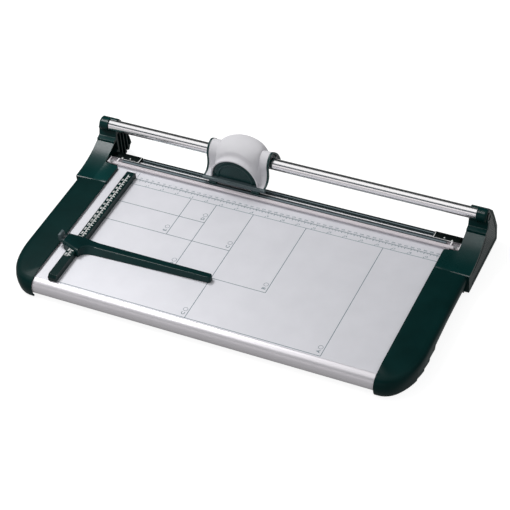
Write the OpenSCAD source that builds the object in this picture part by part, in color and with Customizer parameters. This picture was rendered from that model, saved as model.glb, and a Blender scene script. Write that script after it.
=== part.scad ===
/* [Overall] */
// Width over the outer faces of the two towers
width = 648; // [560:1:780]
// Depth from the front of the wings to the back of the towers
depth = 362; // [320:1:440]
// Height of the table surface above the desk
table_h = 31; // [29:0.5:40]
// Width of each side moulding, from tower face to table
side_w = 54; // [48:1:60]
// How far the towers reach behind the cutting edge
rear_over = 46; // [44:1:60]
// How far the towers reach in front of the cutting edge
front_over = 78.5; // [74:0.5:100]

/* [Table] */
// Thickness of the table plate
plate_t = 2; // [1.5:0.1:3]
// How far the table slides under each side moulding
tuck = 6; // [4:0.5:8]
// Radius of the rounded front profile
nose_r = 14; // [12:0.5:15]
// Depth of the front profile's box behind its nose
nose_box = 16; // [12:1:24]
// Depth of the rear beam under the cut
beam_d = 22.4; // [20:0.2:30]
// Height of the rear beam
beam_h = 19; // [16:1:24]
// Wall of the extruded profiles
profile_t = 2; // [1.5:0.1:3]
// Width of each strut under the table
strut_w = 30; // [20:1:40]
// Distance of each strut from the middle
strut_x = 130; // [80:1:180]

/* [Cut] */
// Width of the steel counter blade
knife_w = 9.5; // [8:0.5:12]
// Thickness of the steel counter blade
knife_t = 1.5; // [1:0.1:2]
// Thickness of the dark bed strip
bed_t = 2.5; // [2:0.1:3]
// Length of each end block
block_l = 48; // [38:1:58]
// Height of the end blocks
block_h = 6; // [5:0.5:8]
// Depth of the clear pressure strip
strip_d = 13.5; // [11:0.5:16]
// Thickness of the clear pressure strip at its rear lip
strip_t = 3; // [2.5:0.1:4]
// Width of the stiffener in the strip
stiff_w = 4.5; // [3.5:0.1:6]
// Gap between the cut edge and the rear of the strip
strip_back = 20; // [18:0.5:24]
// Diameter of the pins that guide the strip
strip_pin_d = 4; // [3:0.2:5]

/* [Sides] */
// Wall of the black mouldings
wall = 2.5; // [2:0.1:3.5]
// How far the wing sides sit in from the tower faces
wing_step = 3.5; // [2:0.5:10]
// Height of the wing's inner edge over the table
wing_top = 4.5; // [2:0.5:6]
// Height of the hand recess in the wing skirt
recess_h = 14.5; // [10:0.5:21]
// Length of the hand recess
recess_l = 146; // [110:1:150]
// Width of the tower column
column_w = 31; // [28:1:38]
// Width of the closed cap on the rail's end
cap_w = 16; // [14:1:20]
// How far the outer face leans in towards the top
lean = 1; // [0.5:0.5:6]
// Radius of the cap
cap_r = 11; // [10.5:0.5:13]
// Diameter of the rubber feet
foot_d = 18; // [14:1:22]
// How far the mouldings stand off the desk
foot_lift = 1.5; // [1:0.1:3]

/* [Rail] */
// Diameter of the guide rail
rail_d = 18; // [15:0.5:19]
// Wall of the guide rail's tube
rail_t = 1.5; // [1:0.1:2.5]
// Height of the rail axis over the table
rail_up = 43.5; // [43:0.5:48]
// Distance of the rail axis behind the cut edge
rail_back = 10.5; // [10.5:0.1:12]

/* [Head] */
// Width of the cutter head
head_w = 104; // [100:1:120]
// Place of the head along the rail
head_x = -75; // [-150:1:150]
// Radius of the head's end collars
collar_r = 16; // [15.5:0.1:18]
// Radius of the head's dome
dome_r = 31; // [30.5:0.1:34]
// Wall of the head cover
cover_t = 2; // [1.6:0.1:2.4]
// Radius of the blade guard
guard_r = 37.5; // [34:0.5:40]
// Height of the head foot's top over the table
foot_top = 18; // [17:0.5:20]
// Thickness of the head foot
foot_t = 6; // [5:0.5:7]
// How far the head goes down
press = 3; // [2:0.1:3]
// Diameter of the round blade
blade_d = 44; // [40:0.5:45]
// Thickness of the round blade
blade_t = 0.6; // [0.4:0.1:1]
// Diameter of the blade axle
axle_d = 6; // [4:0.5:8]

/* [Stop] */
// Width of the side guide
guide_w = 13.5; // [11:0.5:16]
// Height of the side guide
guide_h = 10.5; // [8:0.5:12]
// Distance of the side guide's paper face from the middle
guide_x = 234; // [200:1:240]
// Distance of the paper face of the stop in front of the cut
stop_y = 211; // [120:1:240]
// Length of the stop arm
stop_l = 213; // [150:1:240]
// Height of the stop arm
arm_h = 10; // [8:0.5:12]
// Length of the release lever's thumb tab
tab_l = 12; // [10:0.5:14]

/* [Fits] */
// Gap between parts that move past each other
gap = 0.3; // [0.2:0.05:0.4]
// Radial gap of a running bore
run = 0.05; // [0.03:0.01:0.1]

/* [Hidden] */
$fn = 64;

// Heights and places below are measured from the table surface, the middle and the cut edge
half_w = width / 2;
in_x = half_w - side_w;
wing_x = half_w - wing_step;
column_x = half_w - column_w;
top_x = half_w - lean;
cap_x = top_x - cap_w;
cut_y = depth / 2 - rear_over;
front_y = rear_over - depth;
skirt_z = foot_lift - table_h;
wing_nose_r = nose_r + wall;
nose_y = front_y + wing_nose_r;
cap_end = 6;
rail_end = top_x - cap_end;
black = "#10211f";
silver = "#c9cace";
steel = "#9aa0a4";

// Cut zone
beam_back = 0.6;
beam_front = -beam_back - beam_d;
beam_top = -max(bed_t, knife_t) - 0.5;
bed_rear = -knife_w - 1;
block_x = column_x - block_l;
block_rear = -2;
block_d = 16;
block_mid = block_rear - block_d / 2;
block_top = beam_top + block_h;
strip_front = -strip_back - strip_d;
strip_z = press + gap;
strip_x = column_x - 1;
strip_top = strip_z + strip_t;
strip_step = 1.3;
strip_low = strip_top - strip_step;
stiff_t = 1.8;
groove_y = -strip_back - 2;
groove_z = strip_top - stiff_t - 0.2;
strip_pin_x = strip_x - 7;
strip_pin_y = strip_front + 3.2;
recess_z = -0.6;
spring_pocket = 8;

// Rail carriage and press guides
bush_t = 2;
bush_r = rail_d / 2 + bush_t;
ring_r = bush_r + 2;
bush_in = 19;
bush_l = 13;
tie_y = rail_back + rail_d / 2 + 0.6;
tie_t = 2.5;
lug_w = 8;
lug_t = 3;
press_pin_d = 4;
boss_r = press_pin_d / 2 + 2;
press_pin_x = 20;
press_pin_y = rail_back + ring_r + 2 * gap + boss_r;
lug_rear = press_pin_y + boss_r;
lug_top = rail_up + 13;
boss_top = lug_top - lug_t - gap;
boss_h = 8;
lug_low = rail_up - 13.5;
spring_low = lug_low + lug_t;

// Head
half_head = head_w / 2;
ring_t = 2;
ring_lip = 0.6;
dome_flat = 22;
dome_end = 42;
waist_y = rail_back - collar_r + 0.2;
flare = 16.5;
flare_h = 15;
foot_front = waist_y - flare - 4;
knife_top = beam_top + knife_t;
blade_lift = 1;
blade_z = knife_top + blade_lift + blade_d / 2;
guard_z = foot_top + 1;
guard_front = waist_y - flare + 1.5;
core_front = -6;
core_t = 3;
core_rear = lug_rear;
core_top = rail_up + 18.5;
core_w = press_pin_x - lug_w / 2 - 1;
core_side = 30;
hub_r = 8;
axle_head_r = axle_d / 2 + 2.5;
sleeve_r = 5;
skid_x = 36;
skid_w = 12;

// Stop
stop_in = -guide_x;
guide_rear = -47;
guide_front = nose_y;
saddle_front = -stop_y - 30;
saddle_x = stop_in - guide_w - 12.5;
saddle_top = guide_h + gap + 4;
arm_low = 0.6;
pivot_x = saddle_x - 3.5;
pivot_z = 8;
barrel_r = 2.6;
ear_t = 3;
tab_mid = -stop_y - 8;
tab_top = 20;
tab_t = 5.5;
tab_x = pivot_x - 2;
lever_pin_d = 3;
pad_t = 4;
pad_low = 3.5;
spring_r = 1.8;
spring_z = 12.6;
spring_seat = 1.2;

function pair() = [-1, 1];
function dome(dx) = abs(dx) <= dome_flat ? dome_r : abs(dx) >= dome_end ? collar_r
    : collar_r + (dome_r - collar_r) * (1 + cos(180 * (abs(dx) - dome_flat) / (dome_end - dome_flat))) / 2;
function waist(z) = let (top = foot_top + flare_h, s = (top - z) / flare_h)
    waist_y - flare * (z < top ? pow(s, 2.2) : 0);

// Puts a piece drawn from the cut edge and table surface into the part's frame
module place() { translate([0, cut_y, table_h]) children(); }
// Draws the right hand piece, or its mirror image for the left
module mirrored(side) { if (side < 0) mirror([1, 0, 0]) children(); else children(); }
// Draws a (depth, height) outline along the width
module along_x(x0, x1) { translate([x0, 0, 0]) rotate([90, 0, 90]) linear_extrude(x1 - x0) children(); }
// Draws a (width, height) outline along the depth
module along_y(y0, y1) { translate([0, y1, 0]) rotate([90, 0, 0]) linear_extrude(y1 - y0) children(); }
module box(lo, hi) { translate(lo) cube(hi - lo); }
module rod_x(r, x0, x1, y, z) { translate([x0, y, z]) rotate([0, 90, 0]) cylinder(r = r, h = x1 - x0); }
module rod_y(r, y0, y1, x, z) { translate([x, y1, z]) rotate([90, 0, 0]) cylinder(r = r, h = y1 - y0); }
module rod_z(r, z0, z1, x, y) { translate([x, y, z0]) cylinder(r = r, h = z1 - z0); }
// A screw along -Z with its head's underside at the origin
module screw(d, l, head_d, head_t) {
    translate([0, 0, -l]) cylinder(d = d, h = l);
    cylinder(d = head_d, h = head_t);
}

// One unbroken compression spring standing on the origin
function coil_at(r, h, turns, t) = [r * cos(360 * turns * t), r * sin(360 * turns * t), h * t];
module coil(r, wire, h, turns) {
    sides = 6;
    rings = 8 * turns;
    pts = [for (i = [0:rings], k = [0:sides - 1])
        let (t = i / rings, a = 360 * turns * t, b = 360 * k / sides)
        coil_at(r, h - 2 * wire, turns, t) + [0, 0, wire]
        + wire * [cos(b) * cos(a), cos(b) * sin(a), sin(b)]];
    skin = [for (i = [0:rings - 1], k = [0:sides - 1])
        let (n = (k + 1) % sides, p = i * sides, q = p + sides)
        each [[p + k, q + n, p + n], [p + k, q + k, q + n]]];
    last = rings * sides;
    ends = [for (k = [1:sides - 2]) each [[0, k, k + 1], [last, last + k + 1, last + k]]];
    polyhedron(pts, concat(skin, ends));
}

// Table
module table_plate() {
    color(silver) place() difference() {
        box([-in_x - tuck, nose_y, -plate_t], [in_x + tuck, beam_front, 0]);
        for (s = pair(), y = wing_screw_rows())
            rod_z(wing_screw_d / 2 + run, -plate_t - 1, -0.5, s * wing_screw_x, y);
        for (y = guide_screw_rows()) rod_z(guide_screw_d / 2 + run, -plate_t - 1, 1, guide_mid, y);
        for (s = pair()) rod_z(pin_well_r, -plate_t - 1, 1, s * strip_pin_x, strip_pin_y);
    }
}
module nose_outline(t) {
    difference() {
        union() {
            translate([nose_y, -nose_r]) circle(r = nose_r - t);
            translate([nose_y, t - 2 * nose_r]) square([nose_box - t, 2 * nose_r - plate_t - 2 * t]);
        }
        translate([nose_y - t, -plate_t - t]) square(2 * nose_r);
    }
}
module front_profile() {
    color("#d4d4d8") place() along_x(-in_x - tuck, in_x + tuck) difference() {
        nose_outline(0);
        nose_outline(profile_t);
    }
}
module rear_beam() {
    port = 3.6;
    color("#2c3435") place() along_x(-column_x, column_x) {
        difference() {
            translate([beam_front, beam_top - beam_h]) square([beam_d, beam_h]);
            translate([beam_front + profile_t, beam_top - beam_h + profile_t])
                square([beam_d - 2 * profile_t, beam_h - 2 * profile_t]);
        }
        for (y = port_rows()) difference() {
            translate([y, port_z]) union() {
                circle(r = port);
                translate([-1, -beam_h / 2 + profile_t - 0.5]) square([2, beam_h / 2 - profile_t - port + 1]);
            }
            translate([y, port_z]) circle(d = tower_screw_d + 2 * run);
        }
    }
}
port_z = beam_top - beam_h / 2;
tower_screw_d = 4;
function port_rows() = [beam_front + 6.2, -beam_back - 6.2];
module table_struts() {
    strut_h = 15;
    color("#8b9092") place() for (s = pair()) difference() {
        box([s * strut_x - strut_w / 2, nose_y + nose_box, -plate_t - strut_h],
            [s * strut_x + strut_w / 2, beam_front, -plate_t]);
        box([s * strut_x - strut_w / 2 + profile_t, nose_y, -plate_t - strut_h - 1],
            [s * strut_x + strut_w / 2 - profile_t, 0, -plate_t - profile_t]);
    }
}

// Cut zone
module bed_strip() {
    color("#4a5254") place() box([-block_x, beam_front, beam_top], [block_x, bed_rear, beam_top + bed_t]);
}
module counter_blade() {
    color(steel) place() box([-block_x, -knife_w, beam_top], [block_x, 0, beam_top + knife_t]);
}
block_screw_d = 3;
function block_screw_rows() = [block_x + 10, column_x - 10];
module end_block(side) {
    color("#0b1211") place() mirrored(side) difference() {
        box([block_x, block_rear - block_d, beam_top], [column_x, block_rear, block_top]);
        for (x = block_screw_rows()) {
            rod_z(block_screw_d / 2 + run, beam_top - 1, block_top + 1, x, block_mid);
            rod_z(block_screw_d + run, block_top - 2, block_top + 1, x, block_mid);
        }
    }
}
module left_end_block() { end_block(-1); }
module right_end_block() { end_block(1); }
module block_screws() {
    color(steel) place() for (s = pair(), x = block_screw_rows())
        translate([s * x, block_mid, block_top - 2])
            screw(block_screw_d, block_h - 2, 2 * block_screw_d, 1.6);
}

// Wings
wing_screw_d = 4;
wing_screw_x = in_x + tuck / 2;
ledge_t = 4;
function wing_screw_rows() = [nose_y + 55, (nose_y - front_over) / 2, -front_over - 30];
corner_l = 84;
corner_in = 3;
corner_full = 2.25;
skirt_draft = 3.5;
shoulder_drop = 2;
nose_blend = 18;
// The hollow of a wing is the same form, smaller by t and open at its inner, rear and lower sides
function past(t, d) = t > 0 ? d : 0;
module wing_plan(t) {
    rx = wing_x - in_x - corner_in - t;
    rear = -front_over + past(t, 1);
    inner = in_x - past(t, 1);
    polygon(concat([[inner, rear], [wing_x - t, rear]],
        [for (a = [0:6:90]) [in_x + corner_in + rx * pow(cos(a), 2 / corner_full),
            front_y + corner_l - (corner_l - t) * pow(sin(a), 2 / corner_full)]],
        [[inner, front_y + t]]));
}
module wing_side(t) {
    low = skirt_z - past(t, 1);
    front = front_y + t;
    blend = nose_y + nose_blend;
    hull() {
        translate([nose_y, -nose_r]) circle(r = wing_nose_r - t);
        translate([blend, low]) square([-front_over - blend + 1, wing_top - t - low]);
    }
    polygon([[nose_y + 1, low], [front + 5, low], [front + 1, skirt_z + 7.5], [front, -nose_r],
        [nose_y + 1, -nose_r]]);
}
module wing_section(t) {
    low = skirt_z - past(t, 2);
    inner = in_x - past(t, 1);
    top = wing_top - t;
    edge = wing_x - t;
    polygon([[inner, low], [edge - skirt_draft, low], [edge, -8], [edge, top - shoulder_drop - 3.5],
        [edge - 0.9, top - shoulder_drop - 1.2], [edge - 3, top - shoulder_drop], [in_x + 22, top - 0.4],
        [in_x + 6, top], [inner, top]]);
}
module wing_form(t) {
    intersection() {
        translate([0, 0, -table_h - 5]) linear_extrude(table_h + 20) wing_plan(t);
        along_x(in_x - 2, half_w) wing_side(t);
        along_y(front_y - 1, -front_over + past(t, 1)) wing_section(t);
    }
}
recess_gap = 3;
recess_rise = 22;
recess_flat = 40;
// Finger recess with a short rise beside the tower and a long slope towards the front
module recess_outline() {
    rear = -front_over - recess_gap;
    front = rear - recess_l;
    level = rear - recess_rise - recess_flat;
    polygon(concat([[front, skirt_z - 1], [rear, skirt_z - 1]],
        [for (a = [0:7.5:90]) [rear - recess_rise * (1 - cos(a)), skirt_z + recess_h * sin(a)]],
        [for (i = [0:10]) let (u = i / 10)
            [level + (front - level) * u, skirt_z + recess_h * (1 - pow(u, 1.5))]]));
}
foot_y_front = nose_y + 18;
foot_in = 12;
foot_y_rear = rear_over - 22;
foot_x = half_w - 19;
module wing(side) {
    post_r = foot_d / 2 - 1;
    ledge_front = wing_screw_rows()[0] - 12;
    color(black) place() mirrored(side) difference() {
        union() {
            difference() {
                wing_form(0);
                wing_form(wall);
            }
            intersection() {
                wing_form(0);
                union() {
                    box([in_x, nose_y, 0], [in_x + wall, -front_over, wing_top]);
                    box([in_x, ledge_front, -plate_t - ledge_t], [wing_x, -front_over, -plate_t]);
                    rod_z(post_r, skirt_z, wing_top, foot_x - foot_in, foot_y_front);
                    for (y = wing_screw_rows())
                        box([in_x + tuck, y + 8, -plate_t - 1], [wing_x, y + 8 + wall, wing_top]);
                    box([in_x, -front_over - wall, skirt_z + 3], [wing_x, -front_over, -plate_t]);
                }
            }
        }
        for (y = wing_screw_rows())
            rod_z(wing_screw_d / 2 + run, -plate_t - ledge_t - 1, -plate_t + 1, wing_screw_x, y);
        box([0, front_y - 1, -plate_t], [in_x + tuck, 0, 0]);
        along_x(0, in_x + tuck) nose_outline(-run);
        along_x(in_x, half_w) recess_outline();
    }
}
module left_wing() { wing(-1); }
module right_wing() { wing(1); }
module wing_screws() {
    color(steel) place() for (s = pair(), y = wing_screw_rows())
        translate([s * wing_screw_x, y, -plate_t - ledge_t]) rotate([180, 0, 0])
            screw(wing_screw_d, ledge_t + plate_t - 0.8, 2 * wing_screw_d, 2.4);
}

// Towers
ramp_low = 3.2;
seam_step = 0.8;
ramp_rise = 17.5;
ramp_l = front_over - 5.8;
lean_top = 20;
rail_wall = 3;
head_pocket = 4;
ribs = [14, 22, 30];
rib_t = 1.8;
// The concave front face, moved in by t
function ramp(t) = [for (i = [1:10]) let (u = i / 10, a = atan(2 * ramp_rise * u / ramp_l))
    [ramp_l * u - front_over + t * sin(a), ramp_low + ramp_rise * u * u - t * cos(a)]];
function ramp_foot(t) = let (front = -front_over + t)
    concat([[front, skirt_z - past(t, 1)], [front, ramp_low - t]], ramp(t), [[1.9 + t, 23.7 - 0.6 * t]]);
function back_edge(t) = [[rear_over - 15 - t, 24 - t / 2], [rear_over - 4 - t, -2],
    [rear_over - t, skirt_z + 8]];
module column_outline() {
    polygon(concat(ramp_foot(0),
        [[5, rail_up - 8], [rail_back - 7.2, rail_up - 7], [rail_back + 5, rail_up + 11],
         [rail_back + 11, rail_up + 9.5], [rail_back + 15.5, rail_up + 0.5]],
        back_edge(0), [[rear_over, skirt_z + 4.5], [rear_over - 4.5, skirt_z]]));
}
module column_hollow() {
    polygon(concat(ramp_foot(wall),
        [[5 + wall, rail_up - 10], [rail_back + 4, rail_up - 4], [rail_back + 12 - wall, rail_up - 4]],
        back_edge(wall), [[rear_over - wall, skirt_z - 1]]));
}
module foot_outline() {
    rear = strip_front - 2.4;
    top = wing_top + seam_step;
    polygon([[-front_over, skirt_z], [-front_over, top], [rear, top], [rear, recess_z],
        [beam_front, recess_z], [beam_front, skirt_z]]);
}
module lean_limit() {
    along_y(-front_over - 1, rear_over + 1) polygon([[in_x - 1, skirt_z - 1], [half_w, skirt_z - 1],
        [half_w, ramp_low + 2], [top_x, lean_top], [top_x, 2 * rail_up], [in_x - 1, 2 * rail_up]]);
}
module tower_shell() {
    pocket_low = recess_z - spring_pocket;
    difference() {
        union() {
            intersection() {
                along_x(column_x, half_w) column_outline();
                lean_limit();
            }
            rod_x(cap_r, cap_x, top_x - 1.5, rail_back, rail_up);
            translate([top_x - 1.5, rail_back, rail_up]) rotate([0, 90, 0])
                cylinder(r1 = cap_r, r2 = cap_r - 1.5, h = 1.5);
            difference() {
                along_x(in_x, column_x + 1) foot_outline();
                box([in_x - 1, -front_over + wall, skirt_z - 1],
                    [column_x - wall, beam_front - wall, pocket_low - wall]);
            }
        }
        difference() {
            along_x(column_x - 1, top_x - wall) column_hollow();
            box([column_x - 2, -front_over - 1, skirt_z - 2], [column_x + wall, -beam_back + 6, 1]);
            for (y = ribs) box([column_x + 2, y, skirt_z - 2], [half_w, y + rib_t, rail_up]);
            rod_x(rail_d / 2 + rail_wall, column_x - 2, half_w, rail_back, rail_up);
            rod_z(foot_d / 2 - 1, skirt_z - 2, 10, foot_x, foot_y_rear);
        }
        rod_x(rail_d / 2 + run, column_x - 1, rail_end, rail_back, rail_up);
        rod_x(rail_screw_d / 2 + run, 0, half_w, rail_back, rail_up);
        rod_x(rail_screw_d + 0.5, top_x - head_pocket, half_w, rail_back, rail_up);
        box([0, -front_over - 1, -plate_t], [in_x + tuck, beam_front + 1, 0]);
        rod_z(pin_well_r, pocket_low, 20, strip_pin_x, strip_pin_y);
        rod_z(strip_pin_d / 2 + run, skirt_z, 20, strip_pin_x, strip_pin_y);
        for (y = port_rows()) rod_x(tower_screw_d / 2 + run, column_x - 1, column_x + 8, y, port_z);
    }
}
module tower(side) { color(black) place() mirrored(side) tower_shell(); }
module left_tower() { tower(-1); }
module right_tower() { tower(1); }
module tower_screws() {
    color(steel) place() for (s = pair(), y = port_rows()) mirrored(s)
        translate([column_x + wall, y, port_z]) rotate([0, 90, 0])
            screw(tower_screw_d, 14, 2 * tower_screw_d, 2.6);
}
module rubber_feet() {
    color("#1a1a1a") place() for (s = pair()) {
        rod_z(foot_d / 2, -table_h, skirt_z, s * (foot_x - foot_in), foot_y_front);
        rod_z(foot_d / 2, -table_h, skirt_z, s * foot_x, foot_y_rear);
    }
}

// Rail
rail_screw_d = 5;
plug_l = 18;
module guide_rail() {
    color("#e4e6e8") place() difference() {
        rod_x(rail_d / 2, -rail_end, rail_end, rail_back, rail_up);
        rod_x(rail_d / 2 - rail_t, -rail_end - 1, rail_end + 1, rail_back, rail_up);
    }
}
module rail_plugs() {
    color("#b9a25a") place() for (s = pair()) mirrored(s) difference() {
        rod_x(rail_d / 2 - rail_t - run, rail_end - plug_l, rail_end, rail_back, rail_up);
        rod_x(rail_screw_d / 2 + run, rail_end - plug_l - 1, rail_end + 1, rail_back, rail_up);
    }
}
module rail_screws() {
    color(steel) place() for (s = pair()) mirrored(s)
        translate([top_x - head_pocket, rail_back, rail_up]) rotate([0, 90, 0])
            screw(rail_screw_d, cap_end + plug_l - 10, 2 * rail_screw_d, 3);
}

// Side guide
guide_mid = stop_in - guide_w / 2;
guide_screw_d = 3;
function guide_screw_rows() = [guide_front + 25, (guide_front + guide_rear) / 2, guide_rear - 25];
module side_guide() {
    end_bevel = 4;
    color("#0d1514") place() difference() {
        along_x(stop_in - guide_w, stop_in) polygon([[guide_front, 0], [guide_rear, 0], [guide_rear, guide_h],
            [guide_front + end_bevel, guide_h], [guide_front, guide_h - end_bevel]]);
        for (y = guide_screw_rows()) rod_z(guide_screw_d / 2 + run, -1, guide_h - 2, guide_mid, y);
    }
}
module guide_screws() {
    color(steel) place() for (y = guide_screw_rows()) translate([guide_mid, y, -plate_t]) rotate([180, 0, 0])
        screw(guide_screw_d, plate_t + guide_h - 3, 2 * guide_screw_d, 1.8);
}

// Pressure strip
lift_r = 3.6;
pin_well_r = lift_r + 1.2;
lift_wire = 0.4;
module strip_pins() {
    pin_top = strip_low + gap;
    color(steel) place() for (s = pair()) {
        rod_z(strip_pin_d / 2, recess_z - spring_pocket - wall, pin_top, s * strip_pin_x, strip_pin_y);
        rod_z(strip_pin_d / 2 + 1, pin_top, pin_top + strip_step, s * strip_pin_x, strip_pin_y);
    }
}
module lift_springs() {
    color("#b5b9bc") place() for (s = pair())
        translate([s * strip_pin_x, strip_pin_y, recess_z - spring_pocket])
            coil(lift_r - lift_wire, lift_wire, strip_z - recess_z + spring_pocket, 5);
}
module strip_outline() {
    polygon([[strip_front, strip_z], [-strip_back, strip_z], [-strip_back, strip_top], [groove_y, strip_top],
        [groove_y, groove_z], [groove_y - stiff_w, groove_z], [groove_y - stiff_w, strip_low],
        [strip_front + 0.8, strip_low], [strip_front, strip_z + 0.8]]);
}
module pressure_strip() {
    color("#dfe9ee", 0.6) place() difference() {
        along_x(-strip_x, strip_x) strip_outline();
        for (s = pair()) rod_z(strip_pin_d / 2 + gap, 0, 20, s * strip_pin_x, strip_pin_y);
    }
}
module strip_stiffener() {
    color("#6d777c") place() box([-in_x, groove_y - stiff_w, groove_z], [in_x, groove_y, groove_z + stiff_t]);
}

// Head carriage on the rail
module at_head() { place() translate([head_x, 0, 0]) children(); }
module carriage_frame() {
    color("#3a4344") at_head() difference() {
        union() {
            for (s = pair()) mirrored(s) rod_x(ring_r, bush_in, bush_in + bush_l, rail_back, rail_up);
            box([-bush_in - bush_l, tie_y, lug_low], [bush_in + bush_l, tie_y + tie_t, lug_top]);
            for (s = pair(), z = [lug_low, lug_top - lug_t])
                box([s * press_pin_x - lug_w / 2, tie_y, z],
                    [s * press_pin_x + lug_w / 2, lug_rear, z + lug_t]);
        }
        rod_x(bush_r + run, -half_head, half_head, rail_back, rail_up);
        for (s = pair()) rod_z(press_pin_d / 2, lug_low - 1, lug_top + 1, s * press_pin_x, press_pin_y);
    }
}
module rail_bushes() {
    color("#d8d4c4") at_head() for (s = pair()) mirrored(s) difference() {
        rod_x(bush_r, bush_in, bush_in + bush_l, rail_back, rail_up);
        rod_x(rail_d / 2 + run, 0, half_head, rail_back, rail_up);
    }
}
module press_pins() {
    color(steel) at_head() for (s = pair())
        rod_z(press_pin_d / 2, lug_low, lug_top, s * press_pin_x, press_pin_y);
}
module press_springs() {
    wire = 0.5;
    spring_h = boss_top - boss_h - spring_low;
    color("#b5b9bc") at_head() for (s = pair()) translate([s * press_pin_x, press_pin_y, spring_low])
        coil(press_pin_d / 2 + 1.2 * wire + 0.4, wire, spring_h, 5);
}

// Head that is pressed down
module head_core() {
    low = foot_top - foot_t;
    color("#2a3232") at_head() difference() {
        union() {
            box([-core_side, core_front, low], [core_side, core_front + core_t, rail_up]);
            box([-core_w, core_front, low], [core_w, core_front + core_t, core_top]);
            box([-core_w, core_front, core_top - 2], [core_w, core_rear, core_top]);
            box([-core_w, core_rear - 2.5, boss_top - boss_h], [core_w, core_rear, core_top]);
            box([-press_pin_x, core_rear - 2.5, boss_top - boss_h], [press_pin_x, core_rear, boss_top]);
            for (s = pair()) rod_z(boss_r, boss_top - boss_h, boss_top, s * press_pin_x, press_pin_y);
        }
        for (s = pair()) rod_z(press_pin_d / 2 + run, 0, core_top + 1, s * press_pin_x, press_pin_y);
        rod_y(axle_d / 2 + run, core_front - 1, core_front + core_t + 1, 0, blade_z);
    }
}
module dome_shell() {
    inner = [for (x = [half_head - ring_t:-4:ring_t - half_head]) [dome(x) - cover_t, x]];
    outer = [for (x = [ring_t - half_head:4:half_head - ring_t]) [dome(x), x]];
    low_rear = 62;
    translate([0, rail_back, rail_up]) rotate([0, 90, 0]) rotate([0, 0, low_rear])
        rotate_extrude(angle = 270 - low_rear) polygon(concat(outer, inner));
}
// The flared front of the head, standing proud by lip and t deep behind its face
module skirt_outline(lip, t) {
    steps = 17;
    heights = [for (i = [0:steps]) foot_top + (rail_up - foot_top) * i / steps];
    polygon(concat([for (z = heights) [waist(z) - lip, z]],
        [for (i = [steps:-1:0]) [waist(heights[i]) + t, heights[i]]]));
}
module head_cover() {
    rim = 2;
    color("#bfc0c4") at_head() difference() {
        union() {
            dome_shell();
            along_x(ring_t - half_head, half_head - ring_t) skirt_outline(0, cover_t);
            difference() {
                rod_y(guard_r + gap + rim, guard_front - 1, core_front - 2, 0, guard_z);
                box([-60, -60, -30], [60, 0, foot_top]);
            }
        }
        rod_y(guard_r + gap, -60, core_front, 0, guard_z);
        box([-guard_r, -60, -30], [guard_r, core_front, guard_z]);
        box([-core_side - gap, core_front - 2, 0], [core_side + gap, 0, rail_up]);
    }
}
module end_ring(side) {
    slot = rail_d / 2 + 0.5;
    color("#0d1716") at_head() mirrored(side) difference() {
        union() {
            rod_x(collar_r + ring_lip, half_head - ring_t, half_head, rail_back, rail_up);
            along_x(half_head - ring_t, half_head) skirt_outline(ring_lip, 3.2);
        }
        for (z = [0, press]) rod_x(slot, 0, half_head + 1, rail_back, rail_up + z);
        box([0, rail_back - slot, rail_up], [half_head + 1, rail_back + slot, rail_up + press]);
    }
}
module left_end_ring() { end_ring(-1); }
module right_end_ring() { end_ring(1); }
module blade_guard() {
    face_t = 2;
    color("#12211f") at_head() difference() {
        rod_y(guard_r, guard_front, core_front, 0, guard_z);
        rod_y(guard_r - face_t, guard_front + face_t, core_front + 1, 0, guard_z);
        box([-60, -60, -30], [60, 0, foot_top]);
    }
}
module head_foot() {
    low = foot_top - foot_t;
    color("#3d474a") at_head() difference() {
        box([-half_head, foot_front, low], [half_head, core_front, foot_top]);
        box([-half_head + wall, foot_front + wall, low - 1],
            [half_head - wall, core_front - wall, foot_top - wall]);
        rod_y(axle_head_r + gap, core_front - 4, 0, 0, blade_z);
    }
    color("#3d474a") at_head() for (x = head_screw_rows()) difference() {
        rod_z(head_screw_d, low, foot_top - wall, x, head_screw_y);
        rod_z(head_screw_d / 2 + run, low - 1, foot_top - wall + 1, x, head_screw_y);
    }
}
head_screw_d = 3;
function head_screw_rows() = [-half_head + 7, half_head - 7];
head_screw_y = core_front - 6;
module presser_skids() {
    color("#d9d7cd") at_head() for (s = pair())
        box([s * skid_x - skid_w / 2, -strip_back - 5.5, strip_top + gap],
            [s * skid_x + skid_w / 2, -strip_back - 0.5, foot_top - foot_t]);
}
module head_screws() {
    low = foot_top - foot_t;
    color(steel) at_head() for (x = head_screw_rows()) translate([x, head_screw_y, low]) rotate([180, 0, 0])
        screw(head_screw_d, foot_t - wall, 2 * head_screw_d, 1.6);
}
module blade_axle() {
    color(steel) at_head() {
        rod_y(axle_d / 2, core_front - 1, 6, 0, blade_z);
        rod_y(axle_head_r, core_front - 3, core_front, 0, blade_z);
    }
}
module axle_nut() {
    color(steel) at_head() difference() {
        translate([0, 5.8, blade_z]) rotate([90, 0, 0]) cylinder(r = axle_head_r, h = 3, $fn = 6);
        rod_y(axle_d / 2 + run, 0, 8, 0, blade_z);
    }
}
module blade() {
    color("#cfd3d6") at_head() difference() {
        rod_y(blade_d / 2, gap, gap + blade_t, 0, blade_z);
        rod_y(sleeve_r + run, -1, 3, 0, blade_z);
    }
}
module blade_hub() {
    color("#5b6366") at_head() difference() {
        union() {
            rod_y(hub_r, core_front + core_t + gap, gap, 0, blade_z);
            rod_y(sleeve_r, 0, 2.5, 0, blade_z);
        }
        rod_y(axle_d / 2 + run, -8, 8, 0, blade_z);
    }
}

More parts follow.
